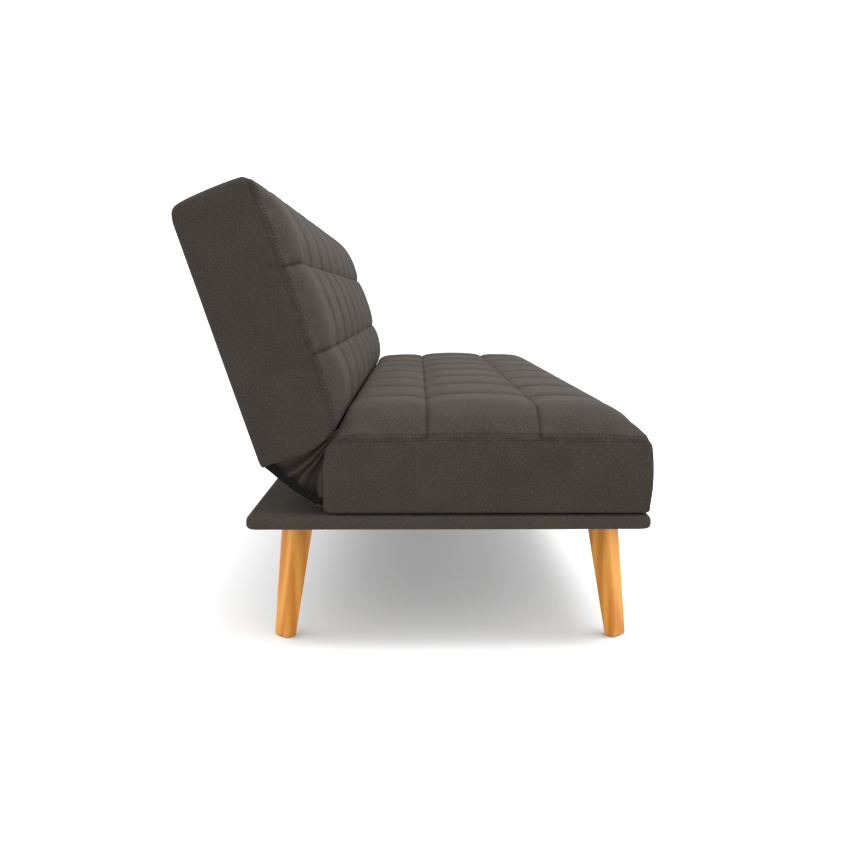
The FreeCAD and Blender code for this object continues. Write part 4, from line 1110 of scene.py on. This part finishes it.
def sew(cover, item, body):
    """Topstitching on both sides of the sewn edge, and the quilting seams across the panel."""
    lattice = cover.lattice
    along, across, levels = lattice.lines
    last_u, last_v, top = lattice.last
    stitched = line_number(levels, cover.side - TOPSTITCH_DROP)
    edge = [ring_keys(lattice, stitched), ring_keys(lattice, top, 1)]
    columns = [line_number(along, place) for place in cover.columns[1:-1]]
    rows = [line_number(across, place) for place in cover.rows]
    seams = [[(i, j, top) for j in range(1, last_v)] for i in columns]
    seams += [[(i, j, top) for i in range(1, last_u)] for j in rows]
    for name, lines, closed in (("topstitching", edge, True), ("quilting.001", seams, False)):
        places = [[item.data.vertices[lattice.index[key]].co for key in line] for line in lines]
        curve = poly_curve(f"{cover.name}_{name}_line", places, closed)
        values = {stitch_ids[size]: value for size, value in STITCH.items()}
        values[stitch_ids["Thread"]] = thread
        result = run_tree(curve, stitches, values, f"{cover.name}_{name}")
        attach(result, body)
        print(result.name, len(result.data.polygons), "faces")


sew(seat_cover, seat_cushion, "base")
sew(back_cover, back_cushion, "back")

# %% [markdown]
# ## Materials for the pieces that CAD already has right
# Legs, rails, plates and fasteners keep their CAD shape. Each gets the finish of its slot.

# %% Finishes on CAD nodes
slot_of = {part["node"]: part["material_slot"] for part in frame["record"]["subparts"]}
for node, item in frame["nodes"].items():
    item.data.materials.clear()
    item.data.materials.append(FINISHES[slot_of[node]])
print("nodes finished", len(slot_of))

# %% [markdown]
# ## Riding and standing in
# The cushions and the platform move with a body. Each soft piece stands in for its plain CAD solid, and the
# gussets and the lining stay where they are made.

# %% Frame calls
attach(seat_cushion, "base")
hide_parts("seat_cover", "seat_foam")
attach(back_cushion, "back")
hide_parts("back_cover", "back_foam")
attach(platform_wrap, "base")
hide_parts("platform_cover")

for name, item in gussets.items():
    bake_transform(item)
    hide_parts(f"gusset_{name}")
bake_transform(hinge_strip)
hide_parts("hinge_lining")

# %% [markdown]
# ## Floor, light and camera
# A pale floor that fades into a white background, a large soft light above, one in front and one
# behind, and a camera a little above the seat, looking along the sofa from its end.

# %% Stage
FLOOR_HALF = 60.0
FLOOR_SHADE = 0.74
SKY_STRENGTH = 1.68


def make_floor():
    corners = [(x * FLOOR_HALF, y * FLOOR_HALF, 0) for x, y in ((-1, -1), (1, -1), (1, 1), (-1, 1))]
    mesh = bpy.data.meshes.new("floor")
    mesh.from_pydata(corners, [], [(0, 1, 2, 3)])
    item = new_item("floor", mesh)
    material, tree, shader = new_material("pale floor")
    set_inputs(shader, {"Base Color": (*[FLOOR_SHADE] * 3, 1), "Roughness": 0.9})
    item.data.materials.append(material)


def make_light(name, place, target, size, power):
    """A rectangular light of a size in metres and a power in watts, turned to its target."""
    data = bpy.data.lights.new(name, "AREA")
    data.shape = "RECTANGLE"
    data.size, data.size_y = size
    data.energy = power
    item = new_item(name, data)
    item.location = place
    aim = Vector(target) - Vector(place)
    item.rotation_euler = aim.to_track_quat("-Z", "Y").to_euler()


make_floor()
make_light("top light", (-0.1, -0.5, 3.2), (0, 0, 0.3), (3.2, 2.8), 150)
make_light("front light", (-0.2, -3.4, 1.3), (0, 0, 0.2), (3.0, 1.6), 45)
make_light("rear light", (-0.2, 3.4, 0.9), (0, 0, 0.1), (3.0, 1.2), 45)
bpy.context.scene.view_settings.view_transform = "Standard"
world = bpy.data.worlds.new("studio")
bpy.context.scene.world = world
world.use_nodes = True
set_inputs(world.node_tree.nodes["Background"], {"Color": (1, 1, 1, 1), "Strength": SKY_STRENGTH})

# %% [markdown]
# ### The camera
# It stands beyond the left end of the sofa and looks along it, tipped a few degrees down.

# %% Camera
CAMERA_PLACE = (-2.614, -0.002, 0.615)
CAMERA_DIP = 7.07
CAMERA_TURN = 0.45
camera_data = bpy.data.cameras.new("camera")
camera_data.sensor_width = 36.0
camera_data.lens = 42.7
camera = new_item("camera", camera_data)
camera.location = CAMERA_PLACE
camera.rotation_euler = (math.radians(90 - CAMERA_DIP), 0, math.radians(-90 - CAMERA_TURN))
bpy.context.scene.camera = camera
print("camera", CAMERA_PLACE, "lens", camera_data.lens)
